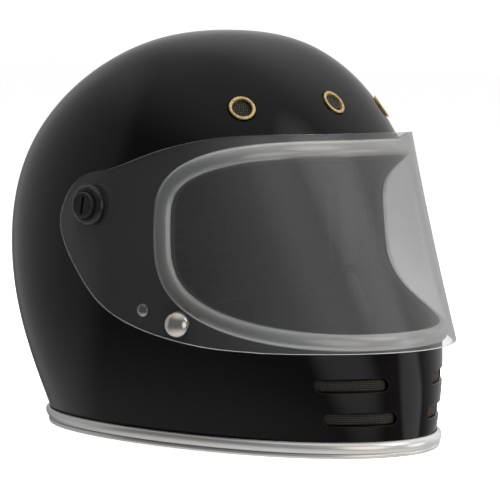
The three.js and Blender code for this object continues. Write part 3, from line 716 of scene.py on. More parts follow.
def vent_plug(angle, z):
    """Cuts a vent's hole with a shallow dish round it."""
    bore = VENT_BORE + 0.3
    profile = [(0, -9), (bore, -9), (bore, -0.9), (9.2, -0.75), (9.9, -0.3), (10.3, 0.05), (11.5, 3), (0, 3)]
    return turned(profile, skin_frame(angle, z), 72)


def nearest_on_skin(points):
    """The skin's points and normals at some points' own height and x, on the same side of the ears."""
    v = level_at(points[:, 2])
    half = sections(v)[1]
    ratio = np.clip(points[:, 0] / np.maximum(half, 1e-6), -1.02, 1.02)
    s = ratio.copy()
    for _ in range(12):  # Newton's steps to the sine of the angle
        error = s * (1 + SQUARENESS * (1 - s * s)) - ratio
        s = np.clip(s - error / (1 + SQUARENESS * (1 - 3 * s * s)), -1, 1)
    c = -np.sign(points[:, 1]) * np.sqrt(1 - s * s)
    angle = np.degrees(np.arctan2(s, c))
    return skin(angle, v), skin_normal(angle, v)


def shell():
    obj = make("lacquered_shell", *dome(0.0, -SHELL, 288, 120), LACQUER)
    combine(obj, eyeport_plug(360, 0, -SHELL - 4))
    for angle, z in [*BROW_VENTS.values(), REAR_VENT]:
        combine(obj, vent_plug(angle, z))
    for side in (1, -1):
        for angle, z in CHIN_SLOTS.values():
            combine(obj, slot_plug(side * angle, z))
    tidy(obj, 30)
    set_surface_normals(obj, nearest_on_skin, 0.08)
    finish_piece(obj, "helmet", "outer_shell")


shell()

# -------------------- silver beads


def eyeport_bead():
    """A silver rolled bead on the outside, with the black rubber of its channel gripping the shell's edge."""
    steps = 420
    cover = arc((0.6, 0.4), (5.5, 3.3), 0, 180, 22)
    lip = [(-5.0, -1.5), (-5.0, -4.2)] + arc((-3.2, -6.2), (1.8, 1.8), 180, 270, 5)
    hook = [(4.2, -8), (5, -7.4), (5, -SHELL - 1.8), (-0.35, -SHELL - 1.8), (-0.35, 0.6)]
    profile = np.array(cover + lip + hook)
    angles, levels = eyeport_edge(steps)
    middle, out = skin(angles, levels), skin_normal(angles, levels)
    along = np.roll(middle, -1, axis=0) - np.roll(middle, 1, axis=0)
    away = unit(np.cross(along, out))
    rows = middle[:, None] + profile[:, 0, None] * away[:, None] + profile[:, 1, None] * out[:, None]
    obj = make("eyeport_bead", *ring(rows), SILVER, 50)
    obj.data.materials.append(RUBBER)
    corner = np.arange(steps * len(profile)) % len(profile)
    obj.data.polygons.foreach_set("material_index", (corner >= len(cover)).astype(int))
    finish_piece(obj, "helmet", "eyeport_trim")


def rim_bead():
    """A rolled bead with a small second bead under it, open upwards to take the shell's edge."""
    outside = [(10.5, 0.6)] + arc((6.4, 0.9), (4.1, 3.3), 8, 148, 15)
    foot = arc((1.9, 1.7), (1.9, 1.9), 60, 180, 8)
    inside = [(0, -6.6), (0.5, -7.7), (1.5, -8.2), (8.9, -8.2), (9.5, -7.6), (9.5, -SHELL - 1.8),
              (RIM_Z - 0.35, -SHELL - 1.8), (RIM_Z - 0.35, 0.6)]
    profile = np.array(outside + foot + inside)
    angles = np.linspace(0, 360, 360, endpoint=False)
    heights = np.maximum(profile[:, 0], RIM_Z)
    a, v = np.meshgrid(angles, level_at(heights), indexing="ij")
    flat = unit(skin_normal(a, v) * (1, 1, 0))
    rows = skin(a, v) + flat * profile[:, 1, None]
    rows[..., 2] = profile[:, 0]
    piece("rim_bead", ring(rows), SILVER, "helmet", "rim_trim", 50)


eyeport_bead()
rim_bead()

# -------------------- vents

WIRE_RADIUS = 0.22
VENT_MESH_DEPTH, SLOT_MESH_DEPTH = 0.9, 2.8  # under the skin


def eyelet(name, angle, z, node):
    lip = arc((7.75, 0.75), (1.05, 0.65), 0, 180, 10)
    profile = [(VENT_BORE, 0.35), (8.7, 0.35)] + lip + [(VENT_MOUTH, 0.2), (VENT_MOUTH, -5), (VENT_BORE, -5)]
    piece(name, turned(profile, skin_frame(angle, z), 96), BRASS, "helmet", node)


def woven_wires(half_width, half_height, pitch, wire_radius):
    """Two sets of wavy wires over and under each other. half_height(x) and half_width(y) bound them."""
    parts = []
    turn = full_turn(6)
    for across, reach, limit in ((False, half_width(0), half_height), (True, half_height(0), half_width)):
        count = int((reach - wire_radius) // pitch)
        for n in range(-count, count + 1):
            half = limit(n * pitch)
            if half < pitch:
                continue
            run = np.linspace(-half, half, max(int(half / pitch * 4), 4) + 1)
            sign = 1 if across else -1
            wave = sign * (-1) ** n * wire_radius * np.cos(np.pi * run / pitch)
            side = n * pitch + wire_radius * np.cos(turn)[None]
            height = wave[:, None] + wire_radius * np.sin(turn)[None]
            side, along = np.broadcast_arrays(side, run[:, None])
            rows = np.stack([along, side, height] if across else [side, along, height], axis=-1)
            parts.append(capped_tube(rows))
    return join(parts)


def round_mesh(name, angle, z, node):
    radius = VENT_MOUTH - 0.3
    circle = lambda d: math.sqrt(max(radius**2 - d * d, 0))
    points, faces = woven_wires(circle, circle, 1.25, WIRE_RADIUS)
    mesh = placed(points - (0, 0, VENT_MESH_DEPTH), skin_frame(angle, z)), faces
    piece(name, mesh, WIRE, "helmet", node, 80)


def slot_mesh(name, angle, z, node):
    r = SLOT_HEIGHT / 2 - 0.35
    reach = SLOT_LENGTH / 2 - SLOT_HEIGHT / 2
    width = lambda y: reach + math.sqrt(max(r * r - y * y, 0))
    height = lambda x: math.sqrt(max(r * r - max(abs(x) - reach, 0) ** 2, 0))
    points, faces = woven_wires(width, height, 1.3, WIRE_RADIUS)
    mesh = on_skin(angle, z, points - (0, 0, SLOT_MESH_DEPTH)), faces
    piece(name, mesh, WIRE, "helmet", node, 80)


for name, (angle, z) in BROW_VENTS.items():
    eyelet(f"brow_eyelet_{name}", angle, z, f"brow_vent_grommet_{name}")
    round_mesh(f"brow_wire_{name}", angle, z, f"brow_vent_mesh_{name}")
eyelet("rear_eyelet", *REAR_VENT, "rear_vent_grommet")
round_mesh("rear_wire", *REAR_VENT, "rear_vent_mesh")
for level, (angle, z) in CHIN_SLOTS.items():
    for name, side in SIDES:
        slot_mesh(f"chin_wire_{level}_{name}", side * angle, z, f"chin_vent_mesh_{level}_{name}")

# -------------------- visor

VISOR_THICKNESS, VISOR_SQUARENESS = 2.2, -0.036
# The sheet's plan at two heights: height, half width, front reach, rear reach.
VISOR_BOTTOM, VISOR_TOP = (68.5, 132, 163, 200), (206, 124.3, 106.6, 200)
# The cut-out outline seen from the side, as [y, z]: over the brow, round the pivot lobe and back under.
VISOR_OUTLINE = np.array([
    (-110, 206), (-77, 203.7), (-43.5, 195.1), (-7, 181.3), (12.7, 177), (26, 171.5), (36.5, 161),
    (42, 147), (38.5, 133), (22.3, 112.8), (-1.4, 92.5), (-32.4, 79.5), (-73.8, 71), (-110, 68.5),
], dtype=float)
KNOB_ANGLE, KNOB_Z = 69, 84


def visor_normal(angle, z):
    along = visor_line(angle + 0.05, z) - visor_line(angle - 0.05, z)
    rise = visor_line(angle, z + 0.5) - visor_line(angle, z - 0.5)
    return unit(np.cross(along, rise))


def visor_line(angle, z):
    climb = (z - VISOR_BOTTOM[0]) / (VISOR_TOP[0] - VISOR_BOTTOM[0])
    between = [low + (high - low) * climb for low, high in zip(VISOR_BOTTOM[1:], VISOR_TOP[1:])]
    return plan_point(angle, z, *between, VISOR_SQUARENESS)


def visor_face(angle, z, offset=0.0):
    """The visor's inner face, or one offset level out from it."""
    return visor_line(angle, z) + unit(visor_normal(angle, z) * (1, 1, 0)) * offset


def visor_frame(side):
    """A frame on the visor's inner face at a knob: local Z points out of it."""
    angle = side * KNOB_ANGLE
    here = visor_face(angle, KNOB_Z)
    along = visor_face(angle + 1, KNOB_Z) - here
    rise = visor_face(angle, KNOB_Z + 1) - here
    return local_frame(unit(along), unit(np.cross(along, rise)), here)


def nearest_on_visor(points):
    """The nearer of the visor's two faces beside some points, with its outward normals."""
    z = points[:, 2]
    half, reach = VISOR_BOTTOM[1:3]
    angle = np.degrees(np.arctan2(points[:, 0] / half, -points[:, 1] / reach))  # a first guess
    for _ in range(25):
        here = visor_line(angle, z)
        along = (visor_line(angle + 0.5, z) - visor_line(angle - 0.5, z))[:, :2]
        short_of = np.einsum("ij,ij->i", points[:, :2] - here[:, :2], along)
        angle = angle + short_of / np.einsum("ij,ij->i", along, along)
    inner, normal = visor_face(angle, z), visor_normal(angle, z)
    outer = visor_face(angle, z, VISOR_THICKNESS)
    is_outer = np.linalg.norm(points - outer, axis=1) < np.linalg.norm(points - inner, axis=1)
    return np.where(is_outer[:, None], outer, inner), np.where(is_outer[:, None], normal, -normal)


PIVOT_Y, PIVOT_Z = centre_mm("pivot_cap_left")[1:]
PIVOT_HOLE, KNOB_HOLE = 7.2, 2.5  # radii
WELL_OUTSIDE = 160.0  # an x past both sides of the helmet


def visor():
    columns, rows = 300, 40  # of a sheet somewhat larger than the outline that is cut from it
    a, z = np.meshgrid(np.linspace(-116, 116, columns), np.linspace(62, 214, rows))
    points = np.vstack([visor_face(a, z, offset).reshape(-1, 3) for offset in (0.0, VISOR_THICKNESS)])
    obj = make("clear_visor", points, sheet_faces(columns, rows), CLEAR)
    ahead = -220  # a y well ahead of the visor
    outline = np.vstack([[(ahead, VISOR_TOP[0])], smooth_line(VISOR_OUTLINE, 12), [(ahead, VISOR_BOTTOM[0])]])
    combine(obj, prism_x(outline, -WELL_OUTSIDE, WELL_OUTSIDE), "INTERSECT")
    hole = np.array(arc((PIVOT_Y, PIVOT_Z), (PIVOT_HOLE, PIVOT_HOLE), 0, 360, 48)[:-1])
    combine(obj, prism_x(hole, -WELL_OUTSIDE, WELL_OUTSIDE))
    knob_hole = [(0, -8), (KNOB_HOLE, -8), (KNOB_HOLE, 8), (0, 8)]
    for side in (1, -1):
        combine(obj, turned(knob_hole, visor_frame(side), 24))
    tidy(obj, 30)
    obj.data.materials.append(CUT_EDGE)
    middles = loft_mm(np.array([p.center[:] for p in obj.data.polygons]))
    facing = np.array([p.normal[:] for p in obj.data.polygons])
    out = nearest_on_visor(middles)[1]
    on_edge = np.abs(np.einsum("ij,ij->i", facing, out)) < 0.5
    obj.data.polygons.foreach_set("material_index", on_edge.astype(int))
    set_surface_normals(obj, nearest_on_visor, 0.05)
    finish_piece(obj, "visor", "visor_shield")


def knobs():
    radius, seat = 8.4, VISOR_THICKNESS + 0.35
    dome_line = arc((0, seat + 0.65), (radius, 6.0), 90, 0, 20)
    profile = dome_line + [(radius, seat + 0.45), (radius - 0.3, seat), (0, seat)]
    for name, side in SIDES:
        shape = turned(profile, visor_frame(side), 72)
        piece(f"lift_knob_{name}", shape, STEEL, "visor", f"visor_knob_{name}")


visor()
knobs()

# -------------------- pivots and rivets

CAP_X, CAP_TOP_X = span_mm("pivot_cap_left", 0)
HEAD_TOP_X = span_mm("pivot_screw_left", 0)[1]


def pivot_caps():
    height = CAP_TOP_X - CAP_X
    dome_line = arc((9.2, CAP_X + 0.9), (4.1, height - 0.9), 0, 128, 18)
    well = [(6.6, CAP_X + height - 1.6), (4.3, CAP_X + height - 1.6), (4.3, CAP_X)]
    for name, side in SIDES:
        shape = turned_on_x([(13.3, CAP_X)] + dome_line + well, side, PIVOT_Y, PIVOT_Z, 96)
        piece(f"pivot_dome_{name}", shape, GLOSS_PLASTIC, "helmet", f"pivot_cap_{name}")


def pivot_screws():
    low = span_mm("pivot_screw_left", 0)[0]
    seat = CAP_TOP_X
    rim = arc((7.5, HEAD_TOP_X - 0.9), (0.9, 0.9), 0, 90, 5)
    dish = [(6.9, HEAD_TOP_X), (6.6, HEAD_TOP_X - 0.5), (0, HEAD_TOP_X - 0.6)]
    profile = [(0, low), (3.9, low), (3.9, seat), (8.4, seat)] + rim + dish
    length, width, depth, turn = 11.8, 1.9, 1.9, math.radians(-8)
    rotation = np.array([(math.cos(turn), -math.sin(turn)), (math.sin(turn), math.cos(turn))])
    slot = slot_outline(length, width, 8)[:, ::-1] @ rotation + (PIVOT_Y, PIVOT_Z)
    for name, side in SIDES:
        shape = turned_on_x(profile, side, PIVOT_Y, PIVOT_Z, 72)
        obj = make(f"coin_screw_{name}", *shape, SATIN_PLASTIC)
        combine(obj, prism_x(slot, side * (HEAD_TOP_X - depth), side * (HEAD_TOP_X + 3)))
        tidy(obj, 35)
        finish_piece(obj, "helmet", f"pivot_screw_{name}")


RIVET_Y, RIVET_Z = centre_mm("strap_rivet_left")[1:]


def strap_rivets():
    low, high = span_mm("strap_rivet_left", 0)
    seat = high - 3
    dome_line = arc((0, seat), (4.6, 3), 90, 0, 16)
    tail = [(5, low + 3.4), (5, low + 0.4), (4.6, low), (0, low)]
    profile = dome_line + [(2.4, seat), (2.4, low + 3.4)] + tail
    for name, side in SIDES:
        shape = turned_on_x(profile, side, RIVET_Y, RIVET_Z, 56)
        piece(f"anchor_rivet_{name}", shape, STEEL, "helmet", f"strap_rivet_{name}")


pivot_caps()
pivot_screws()
strap_rivets()


def keep_node(node, look):
    """A CAD node whose shape is right stays, with a better material."""
    for material_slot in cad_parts[node].material_slots:
        material_slot.link = "OBJECT"
        material_slot.material = look


KEPT = {"pivot_base": SATIN_PLASTIC, "visor_bush": SATIN_PLASTIC, "pivot_nut": ZINC,
        "visor_knob_screw": STEEL, "rivet_spacer": SATIN_PLASTIC, "strap_hanger": STEEL}
for name, _ in SIDES:
    for kind, look in KEPT.items():
        keep_node(f"{kind}_{name}", look)

# -------------------- foam liners

LINER_OUTER, LINER_INNER = -SHELL - 1.8, -31
LINER_FRONT, LINER_REAR = (-70, 122), (130, 56)  # y and z of the liner's sloping lower edge


def below_slope(lift):
    """A block that holds all that lies below the liner's lower edge."""
    run, fall = LINER_REAR[0] - LINER_FRONT[0], LINER_REAR[1] - LINER_FRONT[1]
    z_at = lambda y: LINER_FRONT[1] + lift + fall / run * (y - LINER_FRONT[0])
    far = 300.0  # past the helmet every way
    return prism_x(np.array([(-far, -far), (far, -far), (far, z_at(far)), (-far, z_at(-far))]), -far, far)


def crown_foam():
    obj = make("crown_foam", *dome(LINER_OUTER, LINER_INNER, 144, 60), FOAM)
    combine(obj, below_slope(0))
    combine(obj, eyeport_plug(160, 9, LINER_INNER - 4))
    vent_well = [(0, -70), (VENT_FLANGE, -70), (VENT_FLANGE, 4), (0, 4)]
    for angle, z in [*BROW_VENTS.values(), REAR_VENT]:
        combine(obj, turned(vent_well, skin_frame(angle, z), 40))
    pivot_well = [(0, 108), (11, 108), (11, WELL_OUTSIDE), (0, WELL_OUTSIDE)]
    for side in (1, -1):
        combine(obj, turned_on_x(pivot_well, side, PIVOT_Y, PIVOT_Z, 40))
    tidy(obj)
    finish_piece(obj, "helmet", "impact_liner")


def rounded_slab(point, columns, rows, rounding):
    """A closed slab with rounded edges. point(u, w, t) has t from -1 inside to 1 outside."""
    u, w = np.meshgrid(np.linspace(0, 1, columns), np.linspace(0, 1, rows))
    edge = np.minimum(np.minimum(u, 1 - u) * columns / rows, np.minimum(w, 1 - w))
    swell = np.sqrt(np.clip(1 - (1 - np.clip(edge / rounding, 0, 1)) ** 2, 0.03, 1))
    points = [point(u, w, sign * swell).reshape(-1, 3) for sign in (-1.0, 1.0)]
    return np.vstack(points), sheet_faces(columns, rows)


def skin_pad(angles, heights, depths, lean=0, droop=0):
    """A point function for a slab that follows the skin between two angles, heights and offsets.

    Its first edge leans on by lean degrees up the slab, and its top droops by droop along it."""
    (first, last), (low, high), (outer, inner) = angles, heights, depths

    def point(u, w, t):
        start = first + lean * w
        z = low + (high - droop * u - low) * w
        offset = (outer + inner) / 2 + t * (outer - inner) / 2
        return offset_skin(start + (last - start) * u, level_at(z), offset)
    return point


def chin_foam():
    point = skin_pad(angles=(-50, 50), heights=(15, 61), depths=(LINER_OUTER - 0.2, -20))
    piece("chin_foam", rounded_slab(point, 96, 26, 0.2), FOAM, "helmet", "chin_liner")


crown_foam()
chin_foam()

# -------------------- padded lining

LINING_OUTER, LINING_INNER = -31.8, -38.0


def quilting(angle, v):
    """Depth of the crown lining's inner face: diamond quilting between long seams."""
    pitch, seam_at, depth, least = 24.0, 36, 2.4, 0.6
    middle_y, middle_z, mm_per_degree = 20, 110, 1.9  # of the crown's round inside
    x, y, z = np.moveaxis(offset_skin(angle, v, LINING_INNER), -1, 0)
    side = np.degrees(np.arctan2(x, z - middle_z)) * mm_per_degree
    front = np.degrees(np.arctan2(y - middle_y, z - middle_z)) * mm_per_degree
    groove = lambda d, width: np.exp(-((d / width) ** 2))
    fold = lambda s: np.abs((s / pitch + 0.5) % 1 - 0.5) * pitch
    diamonds = np.maximum(groove(fold(side + front), 1.9), groove(fold(side - front), 1.9))
    seams = groove(np.abs(side) - seam_at, 1.8)
    return LINING_INNER + least + depth * np.maximum(diamonds * (np.abs(side) > seam_at), seams * 1.3)


def crown_lining():
    obj = make("quilted_crown", *dome(LINING_OUTER, quilting, 300, 150), CROWN_KNIT)
    combine(obj, below_slope(5))
    combine(obj, eyeport_plug(160, 16, LINING_INNER - 4))
    tidy(obj, 60)
    finish_piece(obj, "helmet", "crown_pad")


def puff(obj, voxel_mm, pressure, most_mm):
    """Swells a pad with a short cloth simulation, capped so that it stays in its own space."""
    frames = 20
    remesh = obj.modifiers.new("remesh", "REMESH")
    remesh.mode, remesh.voxel_size = "VOXEL", voxel_mm * MM
    apply_modifiers(obj)
    before = mesh_points(obj.data)
    cloth = obj.modifiers.new("cloth", "CLOTH")
    cloth.settings.quality = 4
    cloth.settings.tension_stiffness = 8
    cloth.settings.compression_stiffness = 8
    cloth.settings.bending_stiffness = 0.4
    cloth.settings.use_pressure = True
    cloth.settings.uniform_pressure_force = pressure
    cloth.settings.effector_weights.gravity = 0
    cloth.point_cache.frame_start, cloth.point_cache.frame_end = 1, frames
    for step in range(frames):
        bpy.context.scene.frame_set(step + 1)
    apply_modifiers(obj)
    bpy.context.scene.frame_set(1)
    moved = mesh_points(obj.data) - before
    size = np.linalg.norm(moved, axis=1, keepdims=True)
    capped = before + moved * np.minimum(1, most_mm * MM / np.maximum(size, 1e-9))
    obj.data.vertices.foreach_set("co", capped.ravel())
    subdivide = obj.modifiers.new("smooth", "SUBSURF")
    subdivide.levels = subdivide.render_levels = 1
    apply_modifiers(obj)
    tidy(obj, 180)


def mirrored(obj, name):
    mesh = obj.data.copy()
    points = mesh_points(mesh) * (-1, 1, 1)
    mesh.vertices.foreach_set("co", points.ravel())
    mesh.flip_normals()
    return link_new(name, mesh)


def cheek_pads():
    point = skin_pad(angles=(58.5, 108.5), heights=(48, 106), depths=(-19.5, -42), lean=16, droop=33)
    left = make("cheek_cushion_left", *rounded_slab(point, 40, 24, 0.3), PAD_KNIT)
    puff(left, voxel_mm=4.5, pressure=4.0, most_mm=6.0)
    right = mirrored(left, "cheek_cushion_right")
    for name, obj in (("left", left), ("right", right)):
        finish_piece(obj, "helmet", f"cheek_pad_{name}")


def neck_cushion():
    point = skin_pad(angles=(119.5, 240.5), heights=(15.5, 35.5), depths=(-11.5, -25.5))
    obj = make("neck_cushion", *rounded_slab(point, 90, 14, 0.35), LEATHER)
    puff(obj, voxel_mm=4.5, pressure=3.0, most_mm=3.5)
    finish_piece(obj, "helmet", "neck_roll")


crown_lining()
cheek_pads()
neck_cushion()

# -------------------- chin strap

STRAP_Y, STRAP_WIDTH, STRAP_THICKNESS = RIVET_Y, 22, 2
HANGER_X = span_mm("strap_hanger_left", 0)[1]
HANGER_THICKNESS, HANGER_BOTTOM = 1.5, 66
STRAP_FLOOR, CORNER_X, CORNER_RADIUS = 26, 86.5, 15
LOOP_X, LOOP_Z, LOOP_RADIUS = 61.8, 22.6, 3.4
TURN_X, TURN_Z, TURN_RADIUS = 50.2, 21.2, 4.8
RING_WIRE = 1.6  # radius of the D-rings' wire


def descent():
    """From a hanger's window down the inside of the shell and round to the level crossing, as [x, z]."""
    x = HANGER_X - HANGER_THICKNESS
    corner = arc((CORNER_X, STRAP_FLOOR + CORNER_RADIUS), (CORNER_RADIUS, CORNER_RADIUS), -8, -90, 12)
    return [(x - 1.6, HANGER_BOTTOM + 16), (x - 1.8, HANGER_BOTTOM + 6), (x - 2, HANGER_BOTTOM - 4)] + corner


def ribbon(name, line, node):
    """Webbing with rounded edges along a line of [x, z] in the strap's own plane, with UVs for its weave."""
    tangent = unit(np.gradient(line, axis=0))
    normal = np.column_stack([-tangent[:, 1], tangent[:, 0]])
    edge, half = 0.8, STRAP_THICKNESS / 2
    flat = STRAP_WIDTH / 2 - edge
    section = arc((flat, 0), (edge, half), -90, 90, 4) + arc((-flat, 0), (edge, half), 90, 270, 4)
    rows = np.array([[(p[0] + n[0] * t, STRAP_Y + y, p[1] + n[1] * t) for y, t in section]
                     for p, n in zip(line, normal)])
    obj = make(name, *capped_tube(rows), WEBBING, 60)
    run = run_along(line)
    uv = obj.data.uv_layers.new(name="weave")
    for loop in obj.data.loops:
        step, corner = divmod(loop.vertex_index, len(section))
        uv.data[loop.index].uv = (run[step], section[corner][0])
    finish_piece(obj, "chin_strap", node)


def fine(points, spacing=1.5):
    """Points spread evenly along a smooth line through some."""
    line = smooth_line(np.array(points, dtype=float), 10)
    return spread(line, int(run_along(line)[-1] / spacing) + 1)


def straps():
    loop = arc((LOOP_X, LOOP_Z), (LOOP_RADIUS, LOOP_RADIUS), 90, 270, 10)
    end = [(70, 19.4), (74, 21.6), (77, 23.6), (85, 23.6)]
    ribbon("ring_strap", fine(descent() + loop + end), "short_strap")
    turn = arc((TURN_X, TURN_Z), (TURN_RADIUS, TURN_RADIUS), 90, -90, 10)
    tail = [(44.5, 16.4), (41.5, 18.6), (38, 21.3), (34, 22.4), (20, 22.6), (0, 22.6), (-34, 22.6)]
    run = [(40, STRAP_FLOOR), (0, STRAP_FLOOR), (-40, STRAP_FLOOR)]
    far_side = [(-x, z) for x, z in descent()]
    ribbon("pull_strap", fine(far_side + run[::-1] + turn + tail), "long_strap")


def d_ring(name, node, width, near, far, far_z):
    """A D-ring bent from round wire: its straight bar at x near, in the loop, its rounded side at x far."""
    rise = (LOOP_Z - far_z) / (near - far)
    tight, round_off = 3, 7  # how far each bend reaches from its corner
    corners = [(near, -width / 2, tight), (near, width / 2, tight),
               (far, width / 2, round_off), (far, -width / 2, round_off)]
    line = []
    for n, (x, y, bend) in enumerate(corners):
        before, after = corners[n - 1], corners[(n + 1) % 4]
        here = np.array((x, y), dtype=float)
        start, end = (here + bend * unit(np.array(p[:2]) - here) for p in (before, after))
        t = np.linspace(0, 1, 12)[:, None]
        line.append((1 - t) ** 2 * start + 2 * t * (1 - t) * here + t * t * end)
    flat = np.vstack(line)
    centre = np.column_stack([flat[:, 0], STRAP_Y + flat[:, 1], far_z + (flat[:, 0] - far) * rise])
    along = unit(np.roll(centre, -1, axis=0) - np.roll(centre, 1, axis=0))
    up = np.array((-rise, 0, 1)) / math.hypot(rise, 1)
    out = np.cross(along, up)
    turn = full_turn(20)[:, None]
    rows = centre[:, None] + RING_WIRE * (np.cos(turn) * out[:, None] + np.sin(turn) * up)
    piece(name, ring(rows), STEEL, "chin_strap", node, 80)


def stud():
    x, y, _ = centre_mm("strap_snap_cap")
    rounded = arc((4.6, 20.2), (1.4, 1.4), 280, 360, 6)
    cap = [(0, 18.6), (2.5, 18.62), (4.2, 18.75)] + rounded + [(6, 21.25), (0, 21.25)]
    post = [(0, 27.35), (4.5, 27.35), (4.5, 27.7), (3.9, 28.3), (2, 28.7), (0, 28.8)]
    for name, profile, node in (("stud_cap", cap, "strap_snap_cap"), ("stud_post", post, "strap_snap_rivet")):
        points, faces = lathe(profile, 48)
        piece(name, (points + (x, y, 0), faces), STEEL, "chin_strap", node)


def keeper():
    """A moulded band round the strap and its tail."""
    x0, x1 = span_mm("strap_keeper", 0)
    low_y, high_y = (v - AXIS_Y for v in span_mm("strap_keeper", 1))
    low_z, high_z = span_mm("strap_keeper", 2)
    wall, corner = 1.6, 1.4
    section = [(x0 + 0.6, 0), (x0, 0.5), (x0, wall - 0.5), (x0 + 0.6, wall),
               (x1 - 0.6, wall), (x1, wall - 0.5), (x1, 0.5), (x1 - 0.6, 0)]
    inset = corner + wall
    centres = [(high_y - inset, low_z + inset), (high_y - inset, high_z - inset),
               (low_y + inset, high_z - inset), (low_y + inset, low_z + inset)]
    rows = []
    for (y, z), start in zip(centres, (-90, 0, 90, 180)):
        for turn in np.radians(np.linspace(start, start + 90, 8)):
            out_y, out_z = math.cos(turn), math.sin(turn)
            rows.append([(x, y + (corner + t) * out_y, z + (corner + t) * out_z) for x, t in section])
    piece("strap_band", ring(np.array(rows)), RUBBER, "chin_strap", "strap_keeper", 60)


straps()
d_ring("ring_inner", "d_ring_inner", width=29, near=LOOP_X, far=43.5, far_z=21.6)
d_ring("ring_outer", "d_ring_outer", width=37, near=LOOP_X + 4.4, far=37.5, far_z=17.2)
stud()
keeper()

# -------------------- floor, light and camera

TARGET = Vector((0, AXIS_Y * MM, 0.129))
VIEW_AZIMUTH, VIEW_ELEVATION, VIEW_ROLL = -50.59, 4.54, 1.56  # degrees
VIEW_DISTANCE = 1.9
FOCAL_LENGTHS = 5.5802  # focal length over the sensor's width


def direction(azimuth, elevation):
    """A unit vector from the helmet. Azimuth 0 is ahead of the face, 90 the wearer's left."""
    a, e = math.radians(azimuth), math.radians(elevation)
    return Vector((math.sin(a) * math.cos(e), -math.cos(a) * math.cos(e), math.sin(e)))


def facing_target(azimuth, elevation, distance):
    """A matrix that places an object at a distance from the helmet, with its local -Z towards it."""
    back = direction(azimuth, elevation)
    right = Vector((math.cos(math.radians(azimuth)), math.sin(math.radians(azimuth)), 0))
    axes = Matrix((right, back.cross(right), back)).transposed().to_4x4()
    return Matrix.Translation(TARGET + back * distance) @ axes


def camera():
    data = bpy.data.cameras.new("camera")
    data.sensor_width = 36
    data.lens = FOCAL_LENGTHS * data.sensor_width
    data.shift_x, data.shift_y = 0.0381, -0.0225
    data.clip_start, data.clip_end = 0.05, 60
    roll = Matrix.Rotation(math.radians(VIEW_ROLL), 4, "Z")
    place = facing_target(VIEW_AZIMUTH, VIEW_ELEVATION, VIEW_DISTANCE)
    bpy.context.scene.camera = link_new("camera", data, place @ roll)


def soft_box(name, azimuth, elevation, distance, size, power, colour=(1, 1, 1)):
    """A soft box that lights matt surfaces. Gloss ones mirror the sky instead, which has no edges."""
    data = bpy.data.lights.new(name, "AREA")
    data.shape, data.size, data.size_y = "RECTANGLE", size[0], size[1]
    data.energy, data.color = power, colour
    lamp = link_new(name, data, facing_target(azimuth, elevation, distance))
    lamp.visible_glossy = lamp.visible_transmission = False


def glowing_white(name, low, high, glow):
    """A white studio surface that gives off a little light, so that it stays white out to its edge.

    Mirrored and scattered rays pass through it to the sky, and so does a look at it from behind."""
    look = Look(name, (0.9, 0.9, 0.9), 0.7, emission_strength=glow)
    look.colour(look.noise(6), (0.3, (low, low, low)), (0.7, (high, high, high)))
    look.set("Emission Color", (1, 1, 1, 1))
    path = look.node("ShaderNodeLightPath").outputs
    bounces = look.math("ADD", path["Glossy Depth"], path["Diffuse Depth"])
    behind = look.node("ShaderNodeNewGeometry").outputs["Backfacing"]
    mix = look.node("ShaderNodeMixShader")
    look.link(look.math("GREATER_THAN", look.math("ADD", bounces, behind), 0.5), mix.inputs["Fac"])
    look.link(look.shader.outputs["BSDF"], mix.inputs[1])
    look.link(look.node("ShaderNodeBsdfTransparent").outputs["BSDF"], mix.inputs[2])
    look.link(mix.outputs["Shader"], look.tree.nodes["Material Output"].inputs["Surface"])
    return look.material


def floor_and_backdrop():
    reach, height, steps = 14.0, 40.0, 48
    turn = full_turn(steps)
    rim = np.column_stack([reach * np.cos(turn), reach * np.sin(turn), np.zeros(steps)])
    floor_mesh = bpy.data.meshes.new("floor")
    floor_mesh.from_pydata(rim.tolist(), [], [list(range(steps))])
    floor_mesh.materials.append(glowing_white("pale_floor", 0.86, 0.9, 0.86))
    floor = link_new("floor", floor_mesh)
    wall_mesh = bpy.data.meshes.new("backdrop")
    rows = [rim + (0, 0, z) for z in (height, -height)]  # this order faces inwards
    wall_mesh.from_pydata(np.vstack(rows).tolist(), [], grid_faces(steps, 2, wrap=True))
    wall_mesh.materials.append(glowing_white("pale_backdrop", 0.86, 0.9, 1.0))
    backdrop = link_new("backdrop", wall_mesh)
    for surface in (floor, backdrop):
        surface.visible_glossy = surface.visible_diffuse = surface.visible_shadow = False


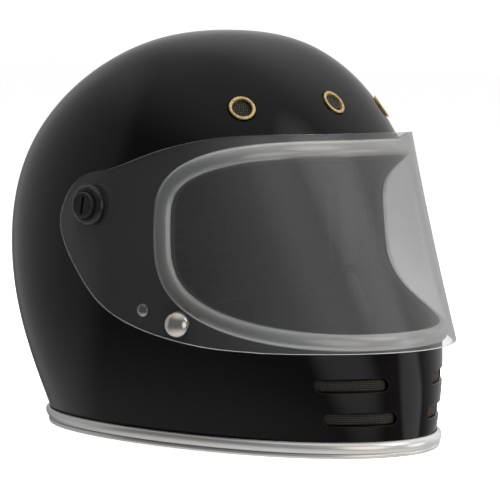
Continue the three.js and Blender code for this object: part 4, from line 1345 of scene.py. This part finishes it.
# The sky that gloss surfaces mirror: a dim level all round, and round glows with softer or firmer edges.
SKY_LEVEL = 0.15
SKY_GLOWS = [  # azimuth, elevation, brightness, radius, softness, in degrees
    (108, 24, 0.4, 32, 20),
    (0, 90, 0.5, 35, 30),
    (0, -90, 0.6, 45, 35),
    (-172, 8, 0.25, 38, 7),
    (50, -4, 0.8, 13, 3),
    (32, 34, 1.2, 11, 11),
    (-8, 2, 0.9, 18, 12),
]
SKY_ON_MATT = 0.1  # how much of the sky's light matt surfaces get: they are lit by the soft boxes


def sky():
    world = bpy.data.worlds.new("studio")
    world.use_nodes = True
    tree = world.node_tree
    towards = tree.nodes.new("ShaderNodeTexCoord").outputs["Generated"]
    total = SKY_LEVEL
    for azimuth, elevation, brightness, radius, softness in SKY_GLOWS:
        dot = tree.nodes.new("ShaderNodeVectorMath")
        dot.operation = "DOT_PRODUCT"
        dot.inputs[1].default_value = direction(azimuth, elevation)
        tree.links.new(towards, dot.inputs[0])
        disc = tree.nodes.new("ShaderNodeMapRange")
        disc.interpolation_type = "SMOOTHSTEP"
        disc.inputs["From Min"].default_value = math.cos(math.radians(radius + softness))
        disc.inputs["From Max"].default_value = math.cos(math.radians(radius - softness))
        disc.inputs["To Max"].default_value = brightness
        tree.links.new(dot.outputs["Value"], disc.inputs["Value"])
        total = math_node(tree, "ADD", disc.outputs["Result"], total)
    bounces = tree.nodes.new("ShaderNodeLightPath").outputs["Diffuse Depth"]
    scattered = math_node(tree, "GREATER_THAN", bounces, 0.5)
    share = math_node(tree, "SUBTRACT", 1.0, math_node(tree, "MULTIPLY", scattered, 1.0 - SKY_ON_MATT))
    background = tree.nodes["Background"].inputs
    tree.links.new(math_node(tree, "MULTIPLY", total, share), background["Strength"])
    background["Color"].default_value = (1, 0.995, 0.99, 1)
    bpy.context.scene.world = world


def studio():
    floor_and_backdrop()
    sky()
    soft_box("front", 25, 20, 2.4, (0.9, 0.9), 90, (1, 0.995, 0.985))
    soft_box("top", -50, 80, 1.6, (1.6, 1.6), 34)
    soft_box("bounce", -20, -60, 1.8, (1.6, 1.6), 14)


camera()
studio()
bpy.context.scene.view_settings.view_transform = "Standard"
